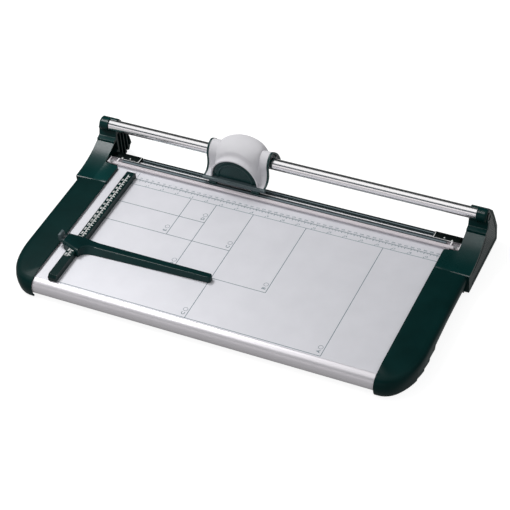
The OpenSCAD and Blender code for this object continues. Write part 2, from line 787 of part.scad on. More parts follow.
// Stop arm on the side guide
module arm_plan() {
    tip_x = stop_in + stop_l;
    tip_d = 10.5;
    tip_r = 3;
    root_x = stop_in + 34;
    root_d = 18;
    fillet = 14;
    polygon(concat([[stop_in - 1, -stop_y]],
        [for (a = [90:-15:0]) [tip_x - tip_r + tip_r * cos(a), -stop_y - tip_r + tip_r * sin(a)]],
        [for (a = [0:-15:-90]) [tip_x - tip_r + tip_r * cos(a), -stop_y - tip_d + tip_r + tip_r * sin(a)]],
        [[root_x, -stop_y - root_d]],
        [for (a = [90:15:165])
            [root_x - 8 + 2 * fillet * cos(a), -stop_y - root_d - fillet + fillet * sin(a)]],
        [[stop_in + 3, saddle_front], [stop_in - 1, saddle_front]]));
}
module stop_arm() {
    ear_x = pivot_x - barrel_r;
    slot_l = tab_l + 2 * gap;
    color(black) place() difference() {
        union() {
            translate([0, 0, arm_low]) linear_extrude(arm_h) arm_plan();
            box([saddle_x, saddle_front, arm_low], [stop_in + 3, -stop_y, saddle_top]);
            for (s = pair()) {
                y = tab_mid + s * (slot_l + ear_t) / 2;
                box([ear_x, y - ear_t / 2, pivot_z - barrel_r],
                    [saddle_x + 1, y + ear_t / 2, pivot_z + barrel_r]);
            }
        }
        box([stop_in - guide_w - gap, -400, -1], [stop_in + gap, 0, guide_h + gap]);
        box([saddle_x - 1, tab_mid - slot_l / 2, pad_low],
            [stop_in - guide_w, tab_mid + slot_l / 2, guide_h]);
        rod_y(lever_pin_d / 2 + run, -400, 0, pivot_x, pivot_z);
        rod_x(spring_r + 0.3, saddle_x - 1, saddle_x + spring_seat, tab_mid, spring_z);
    }
}
module brake_pad() {
    x = stop_in - guide_w - gap;
    color("#242424") place()
        box([x - pad_t, tab_mid - tab_l / 2, pad_low], [x, tab_mid + tab_l / 2, guide_h]);
}
module lever_pin() {
    reach = tab_l / 2 + gap + ear_t;
    color(steel) place() rod_y(lever_pin_d / 2, tab_mid - reach, tab_mid + reach, pivot_x, pivot_z);
}
module lever_spring() {
    wire = 0.35;
    color("#b5b9bc") place() translate([tab_x, tab_mid, spring_z]) rotate([0, 90, 0])
        coil(spring_r - wire - 0.2, wire, saddle_x + spring_seat - tab_x, 4);
}
module release_lever() {
    nose_x = stop_in - guide_w - gap - pad_t - 0.6;
    color("#152422") place() difference() {
        union() {
            rod_y(barrel_r, tab_mid - tab_l / 2, tab_mid + tab_l / 2, pivot_x, pivot_z);
            box([tab_x - tab_t, tab_mid - tab_l / 2, pivot_z - 2], [tab_x, tab_mid + tab_l / 2, tab_top]);
            box([tab_x - 1, tab_mid - tab_l / 2, pivot_z - 2], [nose_x, tab_mid + tab_l / 2, pivot_z + 0.6]);
        }
        rod_y(lever_pin_d / 2 + run, -400, 0, pivot_x, pivot_z);
    }
}

table_plate();
front_profile();
rear_beam();
table_struts();
bed_strip();
counter_blade();
left_end_block();
right_end_block();
block_screws();
left_wing();
right_wing();
wing_screws();
left_tower();
right_tower();
tower_screws();
rubber_feet();
guide_rail();
rail_plugs();
rail_screws();
side_guide();
guide_screws();
strip_pins();
lift_springs();
pressure_strip();
strip_stiffener();
carriage_frame();
rail_bushes();
press_pins();
press_springs();
head_core();
head_cover();
left_end_ring();
right_end_ring();
blade_guard();
head_foot();
presser_skids();
head_screws();
blade_axle();
axle_nut();
blade();
blade_hub();
stop_arm();
brake_pad();
lever_pin();
lever_spring();
release_lever();
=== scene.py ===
"""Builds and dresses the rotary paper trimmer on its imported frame.

Sizes are in millimetres from the middle of the cut edge at table height: x runs along the rail,
y away from the user and z up.  ``at`` turns such a point into the frame's metres.
"""

import logging
import math
from dataclasses import dataclass
from enum import Enum
from typing import Callable, Optional, Sequence, Union

import bmesh
import bpy
from mathutils import Matrix, Vector


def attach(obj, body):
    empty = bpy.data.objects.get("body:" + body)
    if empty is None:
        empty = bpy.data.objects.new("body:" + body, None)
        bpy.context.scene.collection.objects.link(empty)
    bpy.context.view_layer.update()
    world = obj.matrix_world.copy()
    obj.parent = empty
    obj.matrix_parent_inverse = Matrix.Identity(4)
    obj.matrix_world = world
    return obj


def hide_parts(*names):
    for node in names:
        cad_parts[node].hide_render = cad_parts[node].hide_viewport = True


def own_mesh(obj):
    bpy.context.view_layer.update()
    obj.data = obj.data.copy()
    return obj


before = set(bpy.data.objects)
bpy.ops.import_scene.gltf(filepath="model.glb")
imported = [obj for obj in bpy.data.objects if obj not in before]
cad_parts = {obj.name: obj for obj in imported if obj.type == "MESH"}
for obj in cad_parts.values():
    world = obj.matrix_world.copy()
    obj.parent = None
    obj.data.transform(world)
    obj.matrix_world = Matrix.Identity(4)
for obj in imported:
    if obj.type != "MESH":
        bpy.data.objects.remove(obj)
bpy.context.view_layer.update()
LOG = logging.getLogger("trimmer")

Flat = tuple[float, float]
Spot = tuple[float, float, float]
Color = tuple[float, float, float]
Tone = tuple[int, int, int]
Inputs = dict[Union[str, int], object]
MM = 0.001
CUT_Y = 135.0
TABLE_Z = 31.0
RAIL: Flat = (10.5, 43.5)
HEAD_X = -75.0
STRIP_PIN: Flat = (285.0, -30.3)
FRONT_PAD: Flat = (293.0, -281.5)
REAR_PAD: Flat = (305.0, 24.0)
LEVER_Y = -219.0
CREASE = 32.0
WELD = 2e-6


def at(x: float, y: float, z: float) -> Vector:
    """Place in the frame, in metres, of a point given in millimetres from the cut edge."""
    return Vector((x, y + CUT_Y, z + TABLE_Z)) * MM


def linear(tone: Tone) -> Color:
    """Linear colour of a display colour given in steps of 0 to 255."""
    shares = [step / 255 for step in tone]
    return tuple(s / 12.92 if s <= 0.04 else ((s + 0.055) / 1.055) ** 2.4 for s in shares)


def ease(low: float, high: float, value: float) -> float:
    """Smooth step from 0 at low to 1 at high."""
    t = min(1.0, max(0.0, (value - low) / (high - low)))
    return t * t * (3 - 2 * t)


def mix(a: float, b: float, t: float) -> float:
    """Value a share t of the way from a to b."""
    return a + (b - a) * t


class Side(Enum):
    """Hand of a piece that the trimmer has on both ends."""

    LEFT = -1
    RIGHT = 1

    @property
    def word(self) -> str:
        """The hand as it stands in node names."""
        return self.name.lower()


class Axis(Enum):
    """Direction along which an outline is drawn out or a profile is turned."""

    X = 0
    Y = 1
    Z = 2

    def spot(self, u: float, v: float, w: float) -> Spot:
        """Point with outline place (u, v) at w along this direction."""
        return {Axis.X: (w, u, v), Axis.Y: (u, w, v), Axis.Z: (u, v, w)}[self]


class Body(Enum):
    """Moving bodies of the trimmer."""

    BASE = "base"
    STRIP = "strip"
    CARRIAGE = "carriage"
    HEAD = "head"
    BLADE = "blade"
    STOP = "stop"
    LEVER = "lever"


class Cut(Enum):
    """Ways to combine two solids."""

    TAKE = "DIFFERENCE"
    JOIN = "UNION"


# Finishes


def feed(tree: bpy.types.NodeTree, node: bpy.types.Node, inputs: Inputs) -> None:
    """Sets inputs of a node.

    Args:
        tree: Tree that the node is in.
        node: The node.
        inputs: Constants, or sockets to link from, by the input's name or number.
    """
    for name, value in inputs.items():
        if isinstance(value, bpy.types.NodeSocket):
            tree.links.new(value, node.inputs[name])
        else:
            node.inputs[name].default_value = value


def added(tree: bpy.types.NodeTree, kind: str, inputs: Inputs, choice: str = "") -> bpy.types.Node:
    """Adds a shader node with its inputs.

    Args:
        tree: Tree that gets the node.
        kind: Blender's name of the node after ShaderNode.
        inputs: Constants, or sockets to link from, by the input's name or number.
        choice: Operation of a Math node or data type of a Mix node.

    Returns:
        The node.
    """
    node = tree.nodes.new(f"ShaderNode{kind}")
    if kind == "Math":
        node.operation = choice
    elif kind == "Mix":
        node.data_type = choice
    feed(tree, node, inputs)
    return node


@dataclass(frozen=True)
class Finish:
    """Surface finish with a mottled colour, uneven gloss and fine grain.

    Colours are display tones and scales are in features per metre; a pull below 1 draws the grain out along
    the rail.
    """

    name: str
    slot: str
    color: Tone
    shade: Tone
    roughness: float
    spread: float = 0.06
    metallic: float = 0.0
    blotch: float = 30.0
    grain: float = 2200.0
    bump: float = 0.04
    pull: float = 1.0
    specular: float = 0.5
    alpha: float = 1.0

    def material(self) -> bpy.types.Material:
        """Node material of this finish, made once.

        Returns:
            The material with its mottling, gloss and grain nodes.
        """
        known = bpy.data.materials.get(self.name)
        if known:
            return known
        made = bpy.data.materials.new(self.name)
        made.use_nodes = True
        tree = made.node_tree
        place = added(tree, "TexCoord", {}).outputs["Object"]
        drawn = added(tree, "Mapping", {"Scale": (self.pull, 1.0, 1.0), "Vector": place}).outputs["Vector"]
        mottle, fine = (
            added(tree, "TexNoise", {"Scale": scale, "Detail": detail, "Vector": drawn}).outputs["Fac"]
            for scale, detail in ((self.blotch, 4.0), (self.grain, 2.0))
        )
        ramp = added(tree, "ValToRGB", {"Fac": mottle})
        for stop, place_, color in zip(ramp.color_ramp.elements, (0.32, 0.68), (self.shade, self.color)):
            stop.position = place_
            stop.color = (*linear(color), 1.0)
        gloss = added(tree, "MapRange", {
            "From Min": 0.3, "From Max": 0.7, "To Min": max(0.02, self.roughness - self.spread),
            "To Max": min(1.0, self.roughness + self.spread), "Value": fine,
        })
        relief = added(tree, "Bump", {"Strength": self.bump, "Distance": 0.0004, "Height": fine})
        feed(tree, tree.nodes["Principled BSDF"], {
            "Metallic": self.metallic, "IOR": 1.48, "Specular IOR Level": self.specular, "Alpha": self.alpha,
            "Base Color": ramp.outputs["Color"], "Roughness": gloss.outputs["Result"],
            "Normal": relief.outputs["Normal"],
        })
        return made


TABLE_PAINT = Finish(
    "table_lacquer", "table_paint", (226, 226, 232), (222, 222, 228), 0.45, 0.04, 0.3, bump=0.02,
)
PRINT_INK = Finish("print_ink", "table_paint", (92, 114, 122), (106, 127, 135), 0.5, blotch=600.0)
RULER_INK = Finish("ruler_ink", "table_paint", (122, 142, 150), (136, 154, 161), 0.5, blotch=600.0)
SEAL_GREY = Finish("seal_grey", "bed_grey", (136, 152, 157), (122, 138, 144), 0.5, pull=0.1)
NOSE_METAL = Finish(
    "nose_aluminium", "profile_aluminium", (222, 219, 223), (216, 213, 218), 0.34, 0.03, 0.38, pull=0.04,
    grain=500.0, bump=0.004,
)
BEAM_METAL = Finish(
    "beam_anodised", "dark_anodised", (64, 72, 76), (54, 62, 66), 0.42, metallic=0.6, pull=0.05,
)
STRUT_METAL = Finish("strut_zinc", "strut_steel", (170, 172, 174), (150, 152, 155), 0.4, metallic=0.8)
BED_GREY = Finish("bed_strip_grey", "bed_grey", (34, 54, 58), (26, 46, 50), 0.5, pull=0.1)
CORD_WHITE = Finish("bed_cord", "bed_grey", (240, 238, 240), (232, 230, 233), 0.5, pull=0.1)
COUNTER_STEEL = Finish(
    "counter_steel", "blade_steel", (150, 166, 172), (136, 152, 158), 0.2, 0.04, 1.0, pull=0.03, bump=0.006,
)
BLOCK_PLASTIC = Finish("block_plastic", "black_plastic", (4, 16, 15), (2, 11, 10), 0.45, specular=0.16)
KNIFE_STEEL = Finish(
    "knife_steel", "blade_steel", (176, 182, 184), (158, 166, 168), 0.24, 0.06, 1.0, pull=0.03, bump=0.006,
)
SIDE_PLASTIC = Finish(
    "side_plastic", "black_plastic", (3, 37, 36), (1, 31, 30), 0.27, 0.04, grain=1500.0, specular=0.12,
)
WING_PLASTIC = Finish(
    "wing_plastic", "black_plastic", (3, 40, 39), (1, 34, 33), 0.36, 0.05, grain=1500.0, specular=0.09,
)
ARM_PLASTIC = Finish("arm_plastic", "black_plastic", (8, 42, 42), (5, 35, 35), 0.24, 0.04, specular=0.2)
GUIDE_PLASTIC = Finish("guide_plastic", "dark_plastic", (5, 38, 37), (3, 31, 30), 0.24, specular=0.2)
HEAD_PLASTIC = Finish(
    "head_plastic", "dark_plastic", (20, 56, 56), (15, 49, 49), 0.3, bump=0.03, specular=0.3,
)
# Dark plastic painted a lighter grey-teal: painted light for the lit top of the head's foot ledge and of the
# lever tab.
LIT_GREY_PLASTIC = Finish("ledge_plastic", "dark_plastic", (78, 93, 97), (68, 84, 88), 0.42, bump=0.03)
ZINC = Finish("zinc_screw", "zinc_steel", (186, 188, 190), (160, 163, 166), 0.34, metallic=1.0, blotch=300.0)
BLACK_SCREW = Finish(
    "black_screw", "zinc_steel", (16, 22, 22), (11, 16, 16), 0.42, metallic=0.4, blotch=300.0,
)
SPRING_WIRE = Finish("spring_wire", "spring_steel", (150, 153, 156), (128, 131, 134), 0.3, metallic=1.0)
RUBBER = Finish("pad_rubber", "foot_rubber", (30, 30, 31), (22, 22, 23), 0.8, bump=0.2, grain=1200.0)
CHROME = Finish(
    "bright_chrome", "rail_chrome", (249, 247, 248), (246, 244, 246), 0.2, 0.004, 1.0, pull=0.02,
    grain=300.0, bump=0.0,
)
BRASS = Finish("turned_brass", "plug_brass", (176, 148, 84), (158, 130, 70), 0.35, metallic=1.0)
CLEAR = Finish(
    "strip_clear", "clear_plastic", (226, 220, 226), (220, 214, 221), 0.12, 0.02, alpha=0.2, bump=0.0,
)
MILKY = Finish(
    "strip_milky", "clear_plastic", (247, 240, 244), (242, 235, 240), 0.2, 0.03, alpha=0.62, bump=0.0,
)
END_WHITE = Finish("strip_end_white", "clear_plastic", (246, 243, 246), (240, 237, 240), 0.3, 0.03, bump=0.0)
STIFFENER = Finish(
    "insert_grey", "stiffener_grey", (122, 134, 140), (108, 121, 128), 0.4, metallic=0.3, pull=0.05,
    bump=0.01,
)
CHANNEL = Finish("channel_dark", "stiffener_grey", (22, 40, 44), (16, 33, 37), 0.45, bump=0.01)
IVORY = Finish("bush_ivory", "ivory_plastic", (214, 206, 186), (204, 195, 174), 0.45)
SILVER = Finish(
    "silver_lacquer", "cover_silver", (219, 218, 222), (215, 214, 218), 0.6, 0.05, grain=4200.0, bump=0.03,
    specular=0.14,
)
SCALE_WHITE = Finish("scale_white", "dark_plastic", (232, 234, 232), (214, 218, 216), 0.5, blotch=500.0)

NODE_FINISH: dict[str, Finish] = {
    "table_plate": TABLE_PAINT, "rear_beam": BEAM_METAL, "table_struts": STRUT_METAL,
    "block_screws": BLOCK_PLASTIC, "wing_screws": ZINC, "tower_screws": ZINC,
    "rail_plugs": BRASS, "rail_screws": BLACK_SCREW, "guide_screws": ZINC, "strip_pins": ZINC,
    "carriage_frame": HEAD_PLASTIC, "rail_bushes": IVORY, "press_pins": ZINC,
    "head_core": HEAD_PLASTIC, "presser_skids": HEAD_PLASTIC, "head_screws": ZINC,
    "blade_axle": ZINC, "axle_nut": ZINC, "blade": KNIFE_STEEL, "blade_hub": HEAD_PLASTIC,
    "brake_pad": RUBBER, "lever_pin": ZINC,
}


# Mesh making


def arc(center: Flat, radii: Flat, start: float, stop: float, steps: int) -> list[Flat]:
    """Points on part of an ellipse.

    Args:
        center: Middle of the ellipse.
        radii: Its half axes.
        start: First angle in degrees.
        stop: Last angle in degrees.
        steps: Number of pieces.

    Returns:
        steps + 1 points.
    """
    turns = [math.radians(mix(start, stop, i / steps)) for i in range(steps + 1)]
    return [(center[0] + radii[0] * math.cos(a), center[1] + radii[1] * math.sin(a)) for a in turns]


def rounded(corners: Sequence[Spot], steps: int = 5) -> list[Flat]:
    """Outline through corners, each rounded by its own radius.

    Args:
        corners: Corner places with the radius as third number.
        steps: Pieces in each rounded corner.

    Returns:
        The outline's points in the order of the corners.
    """
    outline: list[Flat] = []
    for i, (a, b, radius) in enumerate(corners):
        here = Vector((a, b))
        back = Vector(corners[i - 1][:2]) - here
        ahead = Vector(corners[(i + 1) % len(corners)][:2]) - here
        to_back, to_ahead = back.normalized(), ahead.normalized()
        corner = back.angle(ahead, math.pi)
        if radius <= 0 or corner > math.pi - 0.03:
            outline.append((a, b))
            continue
        reach = min(radius / math.tan(corner / 2), 0.48 * min(back.length, ahead.length))
        middle = here + (to_back + to_ahead).normalized() * (reach / math.cos(corner / 2))
        first = here + to_back * reach - middle
        last = here + to_ahead * reach - middle
        start = math.atan2(first.y, first.x)
        sweep = (math.atan2(last.y, last.x) - start + math.pi) % (2 * math.pi) - math.pi
        for k in range(steps + 1):
            turn = start + sweep * k / steps
            outline.append(
                (middle.x + first.length * math.cos(turn), middle.y + first.length * math.sin(turn))
            )
    return outline


def shown(name: str, shape: bmesh.types.BMesh, crease: float = CREASE) -> bpy.types.Object:
    """Object from a finished shape, with smooth shading up to the crease angle.

    Args:
        name: Name of the piece.
        shape: Shape in the frame's metres, freed here.
        crease: Angle in degrees above which an edge stays sharp.

    Returns:
        The linked object.
    """
    mesh = bpy.data.meshes.new(name)
    shape.to_mesh(mesh)
    shape.free()
    made = bpy.data.objects.new(name, mesh)
    bpy.context.scene.collection.objects.link(made)
    shade(made, crease)
    return made


def shade(made: bpy.types.Object, crease: float = CREASE) -> None:
    """Smooth shading with sharp edges above the crease angle in degrees."""
    made.data.shade_smooth()
    made.data.set_sharp_from_angle(angle=math.radians(crease))


def soften(shape: bmesh.types.BMesh, radius: float, steps: int, reach: float = 24.0) -> None:
    """Rounds every edge of a shape that turns by more than the reach angle.

    Args:
        shape: Closed shape in metres.
        radius: Rounding in millimetres.
        steps: Pieces in the rounding.
        reach: Angle in degrees.
    """
    edges = [e for e in shape.edges if e.calc_face_angle(0.0) > math.radians(reach)]
    bmesh.ops.bevel(
        shape, geom=edges, offset=radius * MM, segments=steps, profile=0.5, affect="EDGES",
        clamp_overlap=True,
    )


def bar(
    name: str, outline: Sequence[Flat], axis: Axis, low: float, high: float, round_by: float = 0.0,
    steps: int = 2, warp: Optional[Callable[[Spot], Spot]] = None,
) -> bpy.types.Object:
    """Closed outline drawn out along an axis, with its edges rounded.

    Args:
        name: Name of the piece.
        outline: Outline across the axis.
        axis: Direction of the bar.
        low: Where it starts.
        high: Where it ends.
        round_by: Rounding of its edges, 0 for none.
        steps: Pieces in the rounding.
        warp: Moves each point before the edges are rounded.

    Returns:
        The bar.
    """
    shape = bmesh.new()
    move = warp or (lambda p: p)
    ends = [[shape.verts.new(at(*move(axis.spot(u, v, w)))) for u, v in outline] for w in (low, high)]
    count = len(outline)
    shape.faces.new(ends[0])
    shape.faces.new(ends[1])
    for i in range(count):
        k = (i + 1) % count
        shape.faces.new((ends[0][i], ends[0][k], ends[1][k], ends[1][i]))
    bmesh.ops.recalc_face_normals(shape, faces=shape.faces)
    if round_by:
        soften(shape, round_by, steps)
    return shown(name, shape)


def block(name: str, low: Spot, high: Spot, round_by: float) -> bpy.types.Object:
    """Rounded block between two corners."""
    outline = [(low[0], low[1]), (high[0], low[1]), (high[0], high[1]), (low[0], high[1])]
    return bar(name, outline, Axis.Z, low[2], high[2], round_by)


def loft(
    name: str, rings: Sequence[Sequence[Spot]], solid: bool = False, crease: float = CREASE
) -> bpy.types.Object:
    """Skin over rows of points.

    Args:
        name: Name of the piece.
        rings: Rows with the same number of points.
        solid: Whether each row closes on itself and the first and last rows are filled.
        crease: Angle in degrees above which an edge stays sharp.

    Returns:
        The skin.
    """
    shape = bmesh.new()
    rows = [[shape.verts.new(at(*p)) for p in ring] for ring in rings]
    count = len(rows[0])
    for a, b in zip(rows, rows[1:]):
        for i in range(count if solid else count - 1):
            k = (i + 1) % count
            shape.faces.new((a[i], a[k], b[k], b[i]))
    if solid:
        shape.faces.new(list(reversed(rows[0])))
        shape.faces.new(rows[-1])
    bmesh.ops.remove_doubles(shape, verts=shape.verts, dist=WELD)
    bmesh.ops.dissolve_degenerate(shape, edges=shape.edges, dist=WELD / 2)
    if solid:
        bmesh.ops.recalc_face_normals(shape, faces=shape.faces)
    return shown(name, shape, crease)


def turned(
    name: str, profile: Sequence[Flat], axis: Axis, center: Spot, steps: int = 48, start: float = 0.0,
    sweep: float = 360.0, ring: bool = False,
) -> bpy.types.Object:
    """Profile turned about an axis.

    Args:
        name: Name of the piece.
        profile: Pairs of radius and place along the axis.
        axis: The axis of the turn.
        center: A point on the axis.
        steps: Pieces round the turn.
        start: First angle in degrees.
        sweep: Angle of the turn in degrees.
        ring: Whether the profile closes on itself.

    Returns:
        The turned piece.
    """
    full = sweep >= 360.0
    shape = bmesh.new()
    rows = []
    for i in range(steps if full else steps + 1):
        turn = math.radians(start + sweep * i / steps)
        spots = (axis.spot(r * math.cos(turn), r * math.sin(turn), along) for r, along in profile)
        rows.append([shape.verts.new(at(*(c + d for c, d in zip(center, spot)))) for spot in spots])
    width = len(profile)
    for a, b in zip(rows, rows[1:] + (rows[:1] if full else [])):
        for i in range(width if ring else width - 1):
            k = (i + 1) % width
            shape.faces.new((a[i], b[i], b[k], a[k]))
    bmesh.ops.remove_doubles(shape, verts=shape.verts, dist=WELD)
    bmesh.ops.recalc_face_normals(shape, faces=shape.faces)
    return shown(name, shape)


def baked(made: bpy.types.Object, crease: Optional[float] = CREASE) -> bpy.types.Object:
    """Works an object's modifiers into its mesh.

    Args:
        made: The object.
        crease: Angle in degrees for its new shading, or None to keep what the modifiers leave.

    Returns:
        The same object.
    """
    ready = bpy.context.evaluated_depsgraph_get()
    mesh = bpy.data.meshes.new_from_object(made.evaluated_get(ready))
    spent = made.data
    made.modifiers.clear()
    made.data = mesh
    bpy.data.meshes.remove(spent)
    if crease is not None:
        shade(made, crease)
    return made


def thick(made: bpy.types.Object, wall: float, crease: float = CREASE) -> bpy.types.Object:
    """Gives an open skin a wall on its inner side.

    Args:
        made: The skin.
        wall: Thickness in millimetres.
        crease: Angle in degrees above which an edge stays sharp.

    Returns:
        The same object, now closed.
    """
    shell = made.modifiers.new("wall", "SOLIDIFY")
    shell.thickness = wall * MM
    shell.offset = -1.0
    return baked(made, crease)


def flat_faced(made: bpy.types.Object) -> bpy.types.Object:
    """The object with its flats shaded flat between their rounded edges."""
    made.modifiers.new("flats", "WEIGHTED_NORMAL").keep_sharp = True
    return baked(made, None)


def carve(made: bpy.types.Object, tool: bpy.types.Object, how: Cut = Cut.TAKE) -> None:
    """Takes a tool's shape from a solid, or joins it on.

    Args:
        made: The solid, changed in place.
        tool: The other solid, which is used up.
        how: Whether the tool is taken away or joined.
    """
    step = made.modifiers.new("carve", "BOOLEAN")
    step.operation = how.value
    step.solver = "EXACT"
    step.object = tool
    baked(made)
    bpy.data.objects.remove(tool)


def gathered(name: str, parts: Sequence[bpy.types.Object]) -> bpy.types.Object:
    """Puts several shapes together.

    Args:
        name: Name of the piece.
        parts: The shapes, which are used up.

    Returns:
        One piece with all of them.
    """
    shape = bmesh.new()
    for part in parts:
        shape.from_mesh(part.data)
        bpy.data.objects.remove(part)
    return shown(name, shape)


def flipped(made: bpy.types.Object, side: Side) -> bpy.types.Object:
    """Puts a right-hand shape on its side of the trimmer.

    Args:
        made: The shape as it is on the right.
        side: Where it goes.

    Returns:
        The same shape, mirrored where the side is the left.
    """
    if side is Side.LEFT:
        made.data.transform(Matrix.Diagonal((-1.0, 1.0, 1.0, 1.0)))
        made.data.flip_normals()
        shade(made)
    return made


def mount(made: bpy.types.Object, body: Body, finish: Finish, *stands_for: str) -> bpy.types.Object:
    """Gives a piece its finish and sets it on its body.

    Args:
        made: The piece, in place.
        body: Body that it moves with.
        finish: Its surface.
        stands_for: Frame nodes that it takes the place of.

    Returns:
        The same piece.
    """
    made.data.materials.clear()
    made.data.materials.append(finish.material())
    if stands_for:
        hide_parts(*stands_for)
    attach(made, body.value)
    LOG.info("%s moves with %s in %s", made.name, body.value, finish.name)
    return made


class Lettering:
    """Flat printed strokes and plain numbers collected into one thin piece."""

    def __init__(self, height: float) -> None:
        """Starts an empty print at the given height in millimetres."""
        self.height = height
        self.shape = bmesh.new()

    def stroke(self, start: Flat, stop: Flat, width: float) -> None:
        """Prints a straight line.

        Args:
            start: Where it starts.
            stop: Where it ends.
            width: Its width in millimetres.
        """
        a, b = Vector(start), Vector(stop)
        aside = (b - a).normalized().orthogonal() * (width / 2)
        corners = [a + aside, a - aside, b - aside, b + aside]
        face = self.shape.faces.new([self.shape.verts.new(at(*p, self.height)) for p in corners])
        face.normal_update()
        if face.normal.z < 0:
            face.normal_flip()

    def ring(self, center: Flat, radius: float, width: float) -> None:
        """Prints a round line.

        Args:
            center: Middle of the ring.
            radius: Its radius in millimetres.
            width: Width of the line.
        """
        points = arc(center, (radius, radius), 0, 360, 20)
        for a, b in zip(points, points[1:]):
            self.stroke(a, b, width)

    def number(self, text: str, center: Flat, size: float, bold: float, turn: float = 0.0) -> None:
        """Prints plain figures, centred on a point.

        Args:
            text: The figures.
            center: Middle of the figures.
            size: Height of the type in millimetres.
            bold: How far the strokes are widened, in millimetres.
            turn: Rotation in degrees.
        """
        type_set = bpy.data.curves.new("figures", "FONT")
        type_set.body = text
        type_set.size = size * MM
        type_set.align_x = "CENTER"
        type_set.align_y = "CENTER"
        type_set.resolution_u = 2
        type_set.offset = bold * MM
        holder = bpy.data.objects.new("figures", type_set)
        bpy.context.scene.collection.objects.link(holder)
        ready = bpy.context.evaluated_depsgraph_get()
        mesh = bpy.data.meshes.new_from_object(holder.evaluated_get(ready))
        spin = Matrix.Rotation(math.radians(turn), 4, "Z")
        mesh.transform(Matrix.Translation(at(*center, self.height)) @ spin)
        self.shape.from_mesh(mesh)
        bpy.data.objects.remove(holder)
        bpy.data.curves.remove(type_set)
        bpy.data.meshes.remove(mesh)

    def piece(self, name: str, body: Body, ink: Finish) -> bpy.types.Object:
        """The finished print as a piece on its body."""
        return mount(shown(name, self.shape), body, ink)


# Sub-assemblies


@dataclass
class Table:
    """Printed plate with the round front profile."""

    half: float = 276.0
    nose_y: float = -299.5
    nose_r: float = 14.0
    nose_box: float = 16.0
    zero_x: float = -235.0
    line: float = 0.95
    widths: tuple[float, ...] = (105.0, 148.0, 210.0, 297.0, 420.0)
    ruler_y: float = -49.3
    ruler_len: int = 503
    inch: float = 25.4
    inch_y: float = -62.2
    inch_len: float = 508.0

    def build(self) -> None:
        """Makes the front profile and the print."""
        self._profile()
        self._formats()
        self._rulers()

    def _profile(self) -> None:
        """Round front profile under the plate's edge."""
        y, r = self.nose_y, self.nose_r
        outline = [(y + self.nose_box, -2 * r), *arc((y, -r), (r, r), 270, 92, 24), (y - 0.1, -0.25)]
        outline += [(y - 0.1, -2.2), (y + self.nose_box, -2.2)]
        nose = bar("front_nose", outline, Axis.X, -self.half, self.half)
        mount(nose, Body.BASE, NOSE_METAL, "front_profile")

    def _formats(self) -> None:
        """Printed paper outlines with their small corner marks."""
        print_ = Lettering(0.05)
        w = self.widths
        lows = (148.0, 210.0, 297.0, 210.0, 297.0)
        for across, low in zip(w, lows):
            print_.stroke((self.zero_x + across, self.inch_y), (self.zero_x + across, -low), self.line)
        for down, across in zip(w, w[1:]):
            print_.stroke((self.zero_x + 1.0, -down), (self.zero_x + across, -down), self.line)
        corners = (148.0, 105.0, 148.0, 210.0, 297.0)
        for letter, across, low in [*zip("EDCBA", w, corners), ("D", w[1], 210.0), ("C", w[2], 297.0)]:
            x, y = self.zero_x + across - 6.0, -low + 8.5
            print_.number(letter, (x, y - 1.0), 8.0, 0.12, 90)
            print_.ring((x, y + 7.5), 3.4, 0.6)
        print_.piece("format_print", Body.BASE, PRINT_INK)

    def _rulers(self) -> None:
        """Printed rulers in millimetres and inches along the cut."""
        print_ = Lettering(0.05)
        for k in range(self.ruler_len):
            x = self.zero_x + k
            drop, wide = (4.2, 1.0) if k % 10 == 0 else (3.2, 0.7) if k % 5 == 0 else (2.2, 0.4)
            print_.stroke((x, self.ruler_y), (x, self.ruler_y - drop), wide)
            if k % 10 == 0 and k:
                print_.number(str(k), (x, self.ruler_y + 3.0), 3.9, 0.06)
        edge = self.ruler_y - 0.3
        print_.stroke((self.zero_x, edge), (self.zero_x + self.ruler_len, edge), 0.8)
        print_.stroke((self.zero_x - 2, self.inch_y), (self.zero_x + self.inch_len, self.inch_y), self.line)
        for k in range(1, round(self.inch_len / self.inch)):
            x = self.zero_x + self.inch * k
            print_.stroke((x, self.inch_y), (x, self.inch_y + 3.4), 0.9)
            print_.number(str(k), (x + 3.2, self.inch_y + 3.8), 5.0, 0.1)
        starts = ((-4.0, -36.0, -47.0), (2.5, -36.0, -44.5), (-4.0, -57.5, -73.0), (1.0, -57.5, -61.0))
        for dx, high, low in starts:
            print_.stroke((self.zero_x + dx, high), (self.zero_x + dx, low), 0.9)
        print_.piece("ruler_print", Body.BASE, RULER_INK)


